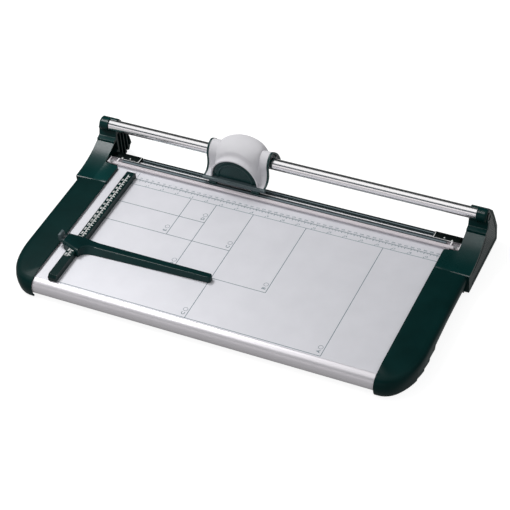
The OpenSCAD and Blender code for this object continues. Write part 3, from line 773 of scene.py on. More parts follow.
@dataclass
class CutLine:
    """Cutting bed, clear pressure strip with its insert, and the end blocks of the cut."""

    bed_x: float = 245.0
    strip_x: float = 292.0
    strip_low: float = 3.3
    strip_high: float = 6.3
    insert_x: float = 269.5
    pin_r: float = 2.3
    pin_head_r: float = 3.1
    block_out: float = 293.0

    def build(self) -> None:
        """Makes the bed, the strip with its insert and both blocks."""
        self._bed()
        self._strip()
        for side in Side:
            self._end_block(side)

    def _bed(self) -> None:
        """Dark bed with a pale cord, and the counter knife with its dark seal."""
        x = self.bed_x
        bed = [(-23.0, -2.95), (-10.5, -2.95), (-10.5, -0.8), (-10.8, -0.5), (-11.0, -0.5), (-11.0, -1.7)]
        bed += [(-13.8, -1.7), (-13.8, -0.5), (-22.7, -0.5), (-23.0, -0.8)]
        mount(bar("bed_mat", bed, Axis.X, -x, x), Body.BASE, BED_GREY, "bed_strip")
        cord = [(-13.7, -1.65), (-11.1, -1.65), *arc((-12.4, -1.2), (1.3, 0.7), 0, 180, 8)]
        mount(bar("bed_cord", cord, Axis.X, -x, x), Body.BASE, CORD_WHITE)
        knife = [(-9.5, -3.0), (0.0, -3.0), (0.0, -1.7), (-0.2, -1.5), (-3.4, -1.5), (-3.4, -2.2)]
        knife += [(-5.2, -2.2), (-5.2, -1.5), (-9.2, -1.5), (-9.5, -1.8)]
        mount(bar("counter_knife", knife, Axis.X, -x, x), Body.BASE, COUNTER_STEEL, "counter_blade")
        seal = [(-5.15, -2.15), (-3.45, -2.15), (-3.45, -1.55), (-5.15, -1.55)]
        mount(bar("knife_seal", seal, Axis.X, -x, x), Body.BASE, SEAL_GREY)

    def _strip(self) -> None:
        """Clear strip with a milky front lip and a dark insert that holds a grey bar."""
        x, low, high = self.strip_x, self.strip_low, self.strip_high
        clear = [(-28.0, low), (-20.0, low), (-20.0, high - 0.3), (-20.3, high), (-21.2, high), (-21.2, 4.2)]
        clear.append((-28.0, 4.2))
        mount(bar("clear_strip", clear, Axis.X, -x, x), Body.STRIP, CLEAR, "pressure_strip")
        front = [(-33.5, low), (-28.1, low), (-28.1, 5.95), (-32.6, 5.95), (-33.5, 5.05)]
        lip = bar("strip_front_lip", front, Axis.X, -x + 1.5, x - 1.5, 0.25)
        shank, head, seat = self.pin_r, self.pin_head_r, low + 0.25
        eye = [(0, 0), (shank, 0), (shank, seat), (head, seat), (head, 12), (0, 12)]
        for side in Side:
            carve(lip, turned("eye", eye, Axis.Z, (side.value * STRIP_PIN[0], STRIP_PIN[1], 0), 20))
        mount(lip, Body.STRIP, MILKY)
        end = self.insert_x
        trough = [(-27.9, 4.3), (-21.4, 4.3), (-21.4, 6.2), (-23.2, 6.2), (-23.4, 5.6), (-26.7, 5.6)]
        trough += [(-26.9, 6.2), (-27.9, 6.2)]
        mount(bar("strip_insert", trough, Axis.X, -end, end), Body.STRIP, CHANNEL, "strip_stiffener")
        grey = [(-26.65, 5.62), (-23.45, 5.62), (-23.45, 5.98), (-26.65, 5.98)]
        mount(bar("insert_bar", grey, Axis.X, -end, end), Body.STRIP, STIFFENER)
        bars = []
        for side in Side:
            for inner, outer, near, far in ((end + 6.5, end + 8.8, -28.0, -20.3), (x - 1.5, x, -33.4, -20.1)):
                ends = sorted((side.value * inner, side.value * outer))
                bars.append(block("end", (ends[0], near, low + 0.95), (ends[1], far, 6.25), 0.3))
        mount(gathered("strip_end_bars", bars), Body.STRIP, END_WHITE)

    def _end_block(self, side: Side) -> None:
        """Makes the black block at one end of the cut with its small marks.

        Args:
            side: The end of the cut.
        """
        outline = rounded([(-18, -2.9, 0.3), (-2, -2.9, 0.3), (-2, 2.2, 1.6), (-18, 3, 0.8)], 3)
        made = bar(f"{side.word}_cut_block", outline, Axis.X, self.bed_x, self.block_out, 0.5)
        for x in (self.bed_x + 10, self.block_out - 7):
            carve(made, turned("bore", [(0, -4), (3.2, -4), (3.2, 4), (0, 4)], Axis.Z, (x, -10, 0), 24))
        mount(flipped(made, side), Body.BASE, BLOCK_PLASTIC, f"{side.word}_end_block")
        marks = [
            bar("mark", [(x - wide, y - tall), (x + wide, y - tall), (x, y + tall)], Axis.Z, z - 0.25, z)
            for x, y, z, wide, tall in ((275.0, -14.8, 2.92, 1.8, 1.7), (262.2, -12.3, 2.8, 1.5, 1.5))
        ]
        x = self.bed_x
        across = [(-17.4, 2.8), (-2.8, 2.0), (-2.8, 2.5), (-17.4, 3.1)]
        along = [(-17.6, 2.8), (-16.7, 2.8), (-16.7, 3.05), (-17.6, 3.1)]
        marks += [bar("edge", line, Axis.X, x + 0.6, x + end) for line, end in ((across, 1.7), (along, 30.0))]
        mount(flipped(gathered(f"{side.word}_block_mark", marks), side), Body.BASE, SCALE_WHITE)


@dataclass
class Wing:
    """Black side wing with its hand recess and grip steps."""

    side: Side
    inner: float = 270.0
    inner_front: float = -303.4
    rear: float = -78.5
    corner: Flat = (273.0, -232.0)
    corner_r: Flat = (47.5, 84.0)
    corner_full: float = 2.25
    skirt: float = -29.5
    crown: float = 4.5
    nose_drop: float = 2.45
    recess_rear: float = -81.5
    recess_rise: float = 22.0
    recess_flat: float = 40.0
    recess_l: float = 146.0
    recess_h: float = 14.5
    wall: float = 2.4
    grips: tuple[float, ...] = (-206.0, -226.0, -246.0, -267.0)
    grip_step: float = 1.5
    flank: tuple[Flat, ...] = ((0.0, -8.0), (0.0, -1.6), (0.4, -0.8), (2.6, 1.9), (3.8, 2.5))
    bull: tuple[Flat, ...] = ((0.5, -10.0), (2.8, -5.0), (5.6, -1.6), (8.8, 0.5), (12.6, 1.9))

    def build(self) -> None:
        """Makes the shell and the ledge that is screwed under the plate."""
        word = self.side.word
        columns = [self._column(*station) for station in self._stations()]
        shell = thick(loft(f"{word}_wing_shell", columns, crease=30.0), self.wall, 30.0)
        mount(flipped(shell, self.side), Body.BASE, WING_PLASTIC, f"{word}_wing")
        ledge = [block("ledge", (270.5, -256.0, -6.0), (314.0, -81.5, -2.2), 0.8)]
        ledge.append(block("rear_wall", (270.5, -81.5, -26.5), (313.5, -79.0, -2.5), 0.6))
        post = [(0, -29.4), (8, -29.4), (8, 0.0), (0, 0.0)]
        ledge.append(turned("post", post, Axis.Z, (*FRONT_PAD, 0), 32))
        for y in (-236.5, -181.0, -100.5):
            low = max(-26.0, self.skirt + self._recess(y) + 2.5)
            ledge.append(block("web", (279.0, y, low), (314.0, y + 2.2, -3.0), 0.5))
        mount(flipped(gathered(f"{word}_wing_ledge", ledge), self.side), Body.BASE, WING_PLASTIC)

    def _stations(self) -> list[tuple[Flat, Flat, Flat]]:
        """Places along the outer edge from the tower round to the front.

        Returns:
            The edge point, its outward direction and the inner edge point of each place.
        """
        mid_x, mid_y = self.corner
        wide, long = self.corner_r
        power = 2 / self.corner_full
        steps = [g + d for g in self.grips for d in (0.1, -0.1)]
        side_y = [mix(self.rear, mid_y, i / 60) for i in range(61)] + [y for y in steps if y > mid_y]
        made = [((mid_x + wide, y), (1.0, 0.0), (self.inner, y)) for y in sorted(set(side_y), reverse=True)]
        turns = [math.asin(((mid_y - y) / long) ** (1 / power)) for y in steps if y < mid_y]
        turns += [math.radians(3.0 * i) for i in range(1, 30)]
        for a in sorted(turns):
            u, v = math.cos(a) ** power, math.sin(a) ** power
            slope = Vector((u ** (self.corner_full - 1) / wide, -(v ** (self.corner_full - 1)) / long))
            out = slope.normalized()
            inner_y = mix(mid_y, self.inner_front, a / (math.pi / 2))
            made.append(((mid_x + wide * u, mid_y - long * v), (out.x, out.y), (self.inner, inner_y)))
        made.append(((self.inner, mid_y - long), (0.0, -1.0), (self.inner, self.inner_front)))
        return made

    def _recess(self, y: float) -> float:
        """Height of the hand recess over the skirt's lower edge.

        Args:
            y: Place along the wing.

        Returns:
            The height there, 0 beside the recess.
        """
        along = self.recess_rear - y
        if along <= 0 or along >= self.recess_l:
            return 0.0
        if along < self.recess_rise:
            return self.recess_h * math.sqrt(1 - (1 - along / self.recess_rise) ** 2)
        start = self.recess_rise + self.recess_flat
        return self.recess_h * (1 - (max(0.0, along - start) / (self.recess_l - start)) ** 1.5)

    def _grip(self, y: float) -> float:
        """How far the grip steps stand out.

        Args:
            y: Place along the edge.

        Returns:
            The step there, 0 behind the first one.
        """
        for start, stop in zip(self.grips, (*self.grips[1:], -293.0)):
            if stop < y <= start:
                return self.grip_step * (y - stop) / (start - stop)
        return 0.0

    def _column(self, edge: Flat, out: Flat, inner: Flat) -> list[Spot]:
        """One row of the skin from the skirt's lower edge over the top to the inner edge.

        Args:
            edge: Point on the outer edge, seen from above.
            out: Outward direction there.
            inner: Point on the inner edge.

        Returns:
            Points from the bottom up and inwards.
        """
        low = self.skirt + self._recess(edge[1])
        front = max(0.0, -out[1]) ** 1.6
        points: list[Spot] = []
        waist = self.flank[0][1]
        skirt = ((0.0, 4.5, self.skirt, 1.0), (0.35, 1.6, -24.0, 0.85), (0.7, 0.15, -16.0, 0.25))
        for lift, front_inset, front_z, grip in skirt:
            z = mix(low, waist, lift)
            inset = mix(3.5 * (waist - z) / 21.5, front_inset, front)
            inset -= self._grip(edge[1]) * grip
            z = mix(z, front_z, front)
            points.append((edge[0] - out[0] * inset, edge[1] - out[1] * inset, z))
        for (inset_a, z_a), (inset_b, z_b) in zip(self.flank, self.bull):
            inset, z = mix(inset_a, inset_b, front), mix(z_a, z_b, front)
            points.append((edge[0] - out[0] * inset, edge[1] - out[1] * inset, z))
        shoulder = points[-1]
        top = self.crown - self.nose_drop * ease(-280.0, self.inner_front, inner[1])
        for t in (0.12, 0.26, 0.44, 0.66, 0.88, 0.975, 1.0):
            rise = 1 - (1 - t) ** 1.9
            z = mix(shoulder[2], top, rise) - (0.45 if t == 1.0 else 0.0)
            points.append((mix(shoulder[0], inner[0], t), mix(shoulder[1], inner[1], t), z))
        return points


@dataclass
class Tower:
    """Black tower that carries one end of the rail."""

    side: Side
    inner: float = 270.0
    column: float = 293.0
    outer: float = 324.0
    lean: float = 1.0
    brow: float = 4.0
    bulge: float = 3.3
    front: float = -78.5
    skirt: float = -29.5
    ramp_end: float = -5.8
    ramp_low: float = 3.2
    ramp_rise: float = 17.5
    ramp_power: float = 2.4
    foot_top: float = 5.3
    seam: Flat = (1.6, 0.9)
    cap_r: float = 11.0
    cap_in: float = 304.5
    cap_out: float = 320.5
    rail_r: float = 9.05
    rail_end: float = 317.05
    crease: float = 26.0

    def build(self) -> None:
        """Makes the tower with its bays, cap and foot, and a dark ring of painted shade in its screw pocket.
        """
        word = self.side.word
        sides = (self.column, self.outer)
        tower = bar(f"{word}_tower_shell", self._outline(), Axis.X, *sides, 1.3, 3, self._lean)
        carve(tower, self._cap(), Cut.JOIN)
        for bay in self._bays():
            carve(tower, bar("bay", bay, Axis.X, self.column - 2, self.cap_out - 2.6))
        heel = [(50.0, -14.0), (41.5, -17.5), (37.0, -22.0), (24.0, -24.0), (24.0, -32.0), (50.0, -32.0)]
        carve(tower, bar("heel", heel, Axis.X, self.column - 2, self.column + 4))
        r, start = self.rail_r, self.column - 3
        bore = [(0, start), (r, start), (r, self.rail_end), (0, self.rail_end)]
        carve(tower, turned("rail_bore", bore, Axis.X, (0, *RAIL), 64))
        pocket = [(0, 317), (2.6, 317), (2.6, 319.2), (5.5, 319.2), (5.5, 321.4), (6.8, 322.9)]
        pocket += [(6.8, 330), (0, 330)]
        carve(tower, turned("screw_pocket", pocket, Axis.X, (0, *RAIL), 40))
        for name, outline, depth in (("panel", self._panel(), 0.6), ("groove", self._groove(), 2.6)):
            carve(tower, bar(name, outline, Axis.X, self.outer - depth, self.outer + 6, warp=self._lean))
        shade(tower, self.crease)
        mount(flat_faced(flipped(tower, self.side)), Body.BASE, SIDE_PLASTIC, f"{word}_tower")
        mount(flat_faced(flipped(self._foot(word), self.side)), Body.BASE, SIDE_PLASTIC)
        # Dark ring lining the screw pocket: painted shade that darkens the pocket beyond what its depth
        # gives.
        well = [(2.8, 319.25), (5.45, 319.25), (5.45, 321.35), (5.1, 321.35), (5.1, 319.6), (2.8, 319.6)]
        shade_lining = turned(f"{word}_screw_well", well, Axis.X, (0, *RAIL), 40, ring=True)
        mount(flipped(shade_lining, self.side), Body.BASE, BLOCK_PLASTIC)

    def _panel(self) -> list[Flat]:
        """Shallow panel in the outer face."""
        panel = [(-66.0, -25.0), (-66.0, -4.5), *self._ramp(7.0, 3), (3.5, 20.0), (8.0, 34.0)]
        return [*panel, (20.0, 35.0), (28.0, 20.0), (37.0, -5.0), (40.0, -24.0)]

    def _groove(self) -> list[Flat]:
        """Groove along the panel's upper edge."""
        upper = [*self._ramp(6.5, 3), (3.6, 21.0), (8.0, 33.5)]
        return upper + [(12.2, 33.5), (7.8, 21.0), *reversed(self._ramp(10.5, 3))]

    def _ramp(self, under: float = 0.0, first: int = 1) -> list[Flat]:
        """Curved front of the column.

        Args:
            under: How far the line runs under the ramp's surface.
            first: Number of its first point.

        Returns:
            Points from the front up to the column.
        """
        length, steps = self.ramp_end - self.front, 14
        return [
            (self.front + length * i / steps, self._ramp_height(i / steps) - under)
            for i in range(first, steps + 1)
        ]

    def _ramp_height(self, share: float) -> float:
        """Height of the ramp a share of the way from the front to the column."""
        return self.ramp_low + self.ramp_rise * share ** self.ramp_power

    def _outline(self) -> list[Flat]:
        """Column seen from the side.

        Returns:
            The outline from the front foot over the ramp and the top to the heel.
        """
        long, tall = self.seam
        corners: list[Spot] = [(self.front, self.skirt, 0.8), (self.front, self.ramp_low - tall, 0.2)]
        corners += [(self.front + long, self.ramp_low, 0.2), *((y, z, 0.0) for y, z in self._ramp()[:-1])]
        corners += [(-6.6, 20.0, 0.3), (-6.0, 19.4, 0.3), (-5.4, 23.2, 0.6), (2.1, 25.2, 1.6)]
        corners += [(5.0, 36.0, 2.5), (3.3, 37.5, 0.8), (6.0, 49.0, 6.0), (13.0, 53.9, 3.0)]
        corners += [(18.5, 51.7, 3.0), (25.0, 43.5, 4.0), (32.0, 24.0, 8.0), (42.0, -2.0, 8.0)]
        corners += [(46.0, -21.5, 4.0), (46.0, -25.0, 3.0), (41.5, self.skirt, 3.0)]
        return rounded(corners, 4)

    def _lean(self, point: Spot) -> Spot:
        """Moves the outer face, which leans in above the wing's height and bulges at the rear.

        Args:
            point: A point of the straight column.

        Returns:
            Its place on the tower.
        """
        x, y, z = point
        if x < self.outer - 1:
            return point
        bulge = self.bulge * ease(20.0, 26.0, y) * ease(50.0, 26.0, z)
        lean = self.lean * ease(2.0, 18.0, z) + self.brow * ease(36.0, 54.0, z) ** 2
        return (x - lean, min(45.9, y + bulge), z)

    def _cap(self) -> bpy.types.Object:
        """Round cap over the rail's end.

        Returns:
            The cap as a solid of its own.
        """
        r, out = self.cap_r, self.cap_out
        profile = [(0, self.cap_in), (r - 0.6, self.cap_in), (r, self.cap_in + 0.6)]
        profile += [(r - 4 + b, out - 4 + a) for a, b in arc((0, 0), (4, 4), 90, 0, 6)]
        return turned("cap", [*profile, (0, out)], Axis.X, (0, *RAIL), 64)

    def _bays(self) -> list[list[Flat]]:
        """Openings between the ribs in the inner side.

        Returns:
            The outline of each, the one under the ramp first.
        """
        ramp = self._ramp(2.8, 6)
        under = [(ramp[0][0], 1.0), *ramp, (3.0, 20.0), (4.2, 1.0)]
        return [
            under,
            [(7.6, -31.0), (14.6, -31.0), (14.6, 28.5), (7.6, 28.5)],
            [(16.4, -31.0), (23.4, -31.0), (23.4, 30.0), (16.4, 29.0)],
            [(25.2, -31.0), (32.4, -31.0), (32.4, 16.5), (25.2, 31.0)],
            [(34.2, -31.0), (41.0, -31.0), (41.0, -4.0), (34.2, 11.5)],
        ]

    def _foot(self, word: str) -> bpy.types.Object:
        """Wide foot beside the plate, swept up into the ramp and lower where the strip's end lies.

        Args:
            word: The hand as it stands in names.

        Returns:
            The foot as it is on the right.
        """
        rear, corner = -37.5, 3.0
        places = [self.front, *(mix(self.front + self.seam[0], rear - corner, i / 9) for i in range(10))]
        places += [rear - corner + corner * math.sin(math.radians(15 * i)) for i in range(1, 7)]
        rows = []
        for y in places:
            past = max(0.0, y - (rear - corner))
            edge = self.inner + corner - math.sqrt(max(0.0, corner ** 2 - past ** 2))
            share = max(0.0, (y - self.front) / (self.ramp_end - self.front))
            high = self._ramp_height(share)
            chamfer = self.seam[1] if y <= self.front else 0.0
            top = [
                (x, mix(self.foot_top, high, ease(self.inner + 4, self.column + 3, x)) - chamfer)
                for x in (mix(edge + 1.2, self.column + 2, i / 8) for i in range(9))
            ]
            ring = [(self.column + 2, self.skirt), (edge, self.skirt), (edge, top[0][1] - 1.2)]
            ring += [(edge + 0.35, top[0][1] - 0.35), *top]
            rows.append([(x, y, z) for x, z in ring])
        tall = loft("tall", rows, solid=True, crease=self.crease)
        low = block("low", (self.inner + 0.5, -38.0, self.skirt), (self.column + 1, -23.0, -0.6), 0.5)
        carve(low, turned("pin_well", [(0, -9), (4.8, -9), (4.8, 3), (0, 3)], Axis.Z, (*STRIP_PIN, 0), 32))
        return gathered(f"{word}_tower_foot", [tall, low])


@dataclass
class Rail:
    """Chrome guide rail with the rubber feet of the base."""

    half: float = 317.0
    radius: float = 9.0
    bore: float = 7.5

    def build(self) -> None:
        """Makes the rail and the feet."""
        r, b, h = self.radius, self.bore, self.half
        profile = [(b, -h), (r - 0.5, -h), (r, -h + 0.5), (r, h - 0.5), (r - 0.5, h), (b, h)]
        tube = turned("chrome_rail", profile, Axis.X, (0, *RAIL), 96, ring=True)
        mount(tube, Body.BASE, CHROME, "guide_rail")
        pad = [(0, -29.5), (8.6, -29.5), (9, -29.9), (9, -30.5), (8.5, -31), (6, -31), (5.4, -30.4)]
        pad.append((0, -30.4))
        feet = [
            turned("pad", pad, Axis.Z, (side.value * x, y, 0), 40)
            for x, y in (FRONT_PAD, REAR_PAD) for side in Side
        ]
        mount(gathered("rubber_pads", feet), Body.BASE, RUBBER, "rubber_feet")


@dataclass
class CutterHead:
    """Silver cover, black end rings, blade guard and foot of the cutter head."""

    half: float = 52.0
    ring_t: float = 2.0
    body_r: float = 30.9
    dome_half: float = 35.5
    collar_r: float = 19.2
    collar_front: float = 16.0
    rear_r: float = 28.8
    rear_z: float = 25.0
    arch_r: float = 39.0
    arch_z: float = 19.0
    face_y: float = -21.6
    rear_deg: float = -28.0
    rear_turn: float = 82.0
    rear_bend: float = 1.29
    rear_full: float = 0.075
    steps: int = 14
    wall: float = 0.9
    press: float = 3.2
    passage: float = 10.2
    crease: float = 40.0

    def build(self) -> None:
        """Makes the cover, the rings, the guard and the foot."""
        self._cover()
        for side in Side:
            self._end_ring(side)
        self._guard()
        self._foot()

    def _swell(self, dx: float) -> float:
        """Share of the dome in the cover's section at a distance from its middle."""
        return max(0.0, 1 - (dx / self.dome_half) ** 2) ** 0.62

    def _rear(self, swell: float, lip: float) -> list[Flat]:
        """Rear of the cover's section.

        Args:
            swell: Share of the dome in the section.
            lip: How far the section stands out from the cover.

        Returns:
            Points from the top down.
        """
        points = []
        rise = RAIL[1] + self.collar_r + lip - self.rear_z
        dome = self.body_r + lip
        for i in range(1, self.steps + 1):
            turn = math.radians(self.rear_turn * i / self.steps)
            low_y = RAIL[0] + (self.rear_r + lip) * math.sin(turn) ** self.rear_bend
            low_z = self.rear_z + rise * math.cos(turn) ** self.rear_bend
            angle = math.radians(mix(90.0, self.rear_deg, i / self.steps))
            reach = dome * (1 + self.rear_full * max(0.0, math.sin(2 * angle)))
            high_y = RAIL[0] + reach * math.cos(angle)
            high_z = RAIL[1] + min(dome, reach * math.sin(angle))
            points.append((mix(low_y, high_y, swell), mix(low_z, high_z, swell)))
        return points

    def _rim(self, dx: float) -> float:
        """Height of the cover's front edge over the guard."""
        inside = self.arch_r ** 2 - dx ** 2
        return self.arch_z + math.sqrt(inside) if inside > 0 else self.arch_z

    def _profile(self, dx: float, lip: float = 0.0) -> list[Flat]:
        """Cover's section across the rail.

        Args:
            dx: Distance from the head's middle.
            lip: How far the section stands out from the cover.

        Returns:
            Points from the front edge over the top to the rear edge.
        """
        swell, rim = self._swell(dx), self._rim(dx)
        ahead = mix(self.collar_front, self.body_r, swell) + lip
        above = mix(self.collar_r, self.body_r, swell) + lip
        lift = (rim - self.arch_z) / self.arch_r
        join = math.radians(mix(184.0, 131.0, lift ** 1.3))
        start = Vector((self.face_y - lip, rim - 1.0))
        meet = Vector((RAIL[0] + ahead * math.cos(join), RAIL[1] + above * math.sin(join)))
        along = Vector((ahead * math.sin(join), -above * math.cos(join))).normalized()
        first = start + Vector((mix(13.0, 9.5, lift), mix(1.0, 1.4, lift)))
        steep = along.lerp(Vector((0.3, 0.95)), 0.6 * lift).normalized()
        last = meet - steep * mix(14.0, 5.5, lift)
        blend = []
        for i in range(self.steps + 1):
            t = i / self.steps
            point = start * (1 - t) ** 3 + first * 3 * t * (1 - t) ** 2
            point += last * 3 * t * t * (1 - t) + meet * t ** 3
            blend.append((point.x, point.y))
        over = arc(RAIL, (ahead, above), math.degrees(join), 90, self.steps)[1:]
        return blend + over + self._rear(swell, lip)

    def _stations(self) -> list[float]:
        """Places along the head at which the cover's section is drawn.

        Returns:
            Distances from the head's middle, from left to right.
        """
        half_row = [self.arch_r * math.sin(math.radians(6 * i)) for i in range(16)]
        half_row += [35.2, 35.8, 36.6, 40.2, 41.6, 43.2, 45.0, 47.2, self.half - self.ring_t]
        half_row.sort()
        return [-x for x in reversed(half_row[1:])] + half_row

    def _cover(self) -> None:
        """Blended silver cover with the bead round its arch."""
        places = self._stations()
        rows = [[(HEAD_X + dx, y, z) for y, z in self._profile(dx)] for dx in places]
        cover = thick(loft("silver_cover", rows[::-1], crease=self.crease), self.wall, self.crease)
        mount(cover, Body.HEAD, SILVER, "head_cover")
        path = [Vector((dx, self._rim(dx) - 0.4)) for dx in places if abs(dx) <= self.arch_r + 0.01]
        bead = []
        for i, here in enumerate(path):
            ahead = (path[min(i + 1, len(path) - 1)] - path[max(i - 1, 0)]).normalized()
            out = Vector((-ahead.y, ahead.x))
            bead.append([
                (HEAD_X + here.x + out.x * a, self.face_y + b, here.y + out.y * a)
                for a, b in arc((0, 0), (1.1, 0.8), 0, 330, 11)
            ])
        mount(loft("arch_bead", bead, solid=True), Body.HEAD, SILVER)

    def _end_ring(self, side: Side) -> None:
        """Makes the black plate that closes one end of the cover round the rail.

        Args:
            side: The end of the cover.
        """
        skin = self._profile(self.half, 0.6)
        band, arch = skin[:self.steps + 1], skin[self.steps + 1:]
        inside = [(y + 3.0, z - 0.6) for y, z in reversed(band[:11])]
        opening = [(y - 2.4, z - 0.6) for y, z in reversed(self._rear(0.0, 0.0))]
        opening += arc(RAIL, (self.collar_front - 2.4, self.collar_r - 2.4), 90, 178, self.steps)
        rim = [(band[0][0], 18.05), *band, *arch, *opening, *inside, (inside[-1][0], 18.05)]
        inner = self.half - self.ring_t - 1
        plate = bar("rim", rim, Axis.X, inner, self.half, 0.4)
        collar = (self.collar_front - 0.8, self.collar_r - 0.8)
        back = [*self._rear(0.0, -0.8)[9::-1], *arc(RAIL, collar, 90, 184, self.steps)]
        hole = self.passage
        back.append((RAIL[0] - hole, back[-1][1]))
        back += arc((RAIL[0], RAIL[1] + self.press), (hole, hole), 180, 0, 2 * self.steps)
        back.append((RAIL[0] + hole, back[0][1]))
        ring = bar("back", back, Axis.X, inner - 1.4, inner - 0.1)
        made = flipped(gathered(f"{side.word}_cover_ring", [plate, ring]), side)
        made.data.transform(Matrix.Translation((HEAD_X * MM, 0, 0)))
        mount(made, Body.HEAD, HEAD_PLASTIC, f"{side.word}_end_ring")

    def _guard(self) -> None:
        """Half-round blade guard with its stepped face."""
        face = [(0.0, -18.6), (25.6, -18.6), (26.4, -18.4), (27.0, -19.0), (27.6, -20.0), (28.4, -20.3)]
        face += [(30.2, -20.3), (31.0, -19.9), (31.6, -18.9), (32.4, -18.6), (35.4, -19.0), (36.6, -18.8)]
        face += [(37.3, -18.0), (37.5, -17.0), (37.5, -6.4)]
        skin = turned("half_guard", face, Axis.Y, (HEAD_X, 0, self.arch_z), 64, 0.0, 180.0)
        mount(thick(skin, 1.6), Body.HEAD, HEAD_PLASTIC, "blade_guard")

    def _foot(self) -> None:
        """Ledge under the guard and the cover."""
        corners = [(-23.4, 12.0, 0.4), (-6.0, 12.0, 0.0), (-6.0, 17.9, 0.0), (-23.4, 17.9, 0.8)]
        corners += [(-24.2, 17.4, 0.4), (-25.8, 17.2, 0.8), (-25.8, 12.6, 0.8), (-23.4, 12.3, 0.4)]
        ledge = bar("foot_ledge", rounded(corners, 3), Axis.X, HEAD_X - self.half, HEAD_X + self.half, 0.4)
        for side in Side:
            ends = sorted(HEAD_X + side.value * x for x in (self.half - 6.5, self.half + 3))
            carve(ledge, block("corner", (ends[0], -19.2, 11.0), (ends[1], -4.0, 19.0), 0.0))
        hollow = [(-23.3, 11.0), (-8.5, 11.0), (-8.5, 15.4), (-23.3, 15.4)]
        carve(ledge, bar("hollow", hollow, Axis.X, HEAD_X - self.half + 2.5, HEAD_X + self.half - 2.5))
        well = [(0, -12), (5.8, -12), (5.8, 2), (0, 2)]
        carve(ledge, turned("axle_well", well, Axis.Y, (HEAD_X, 0, 21.5), 32))
        # The ledge takes the lighter tone of painted light.
        mount(flat_faced(ledge), Body.HEAD, LIT_GREY_PLASTIC, "head_foot")


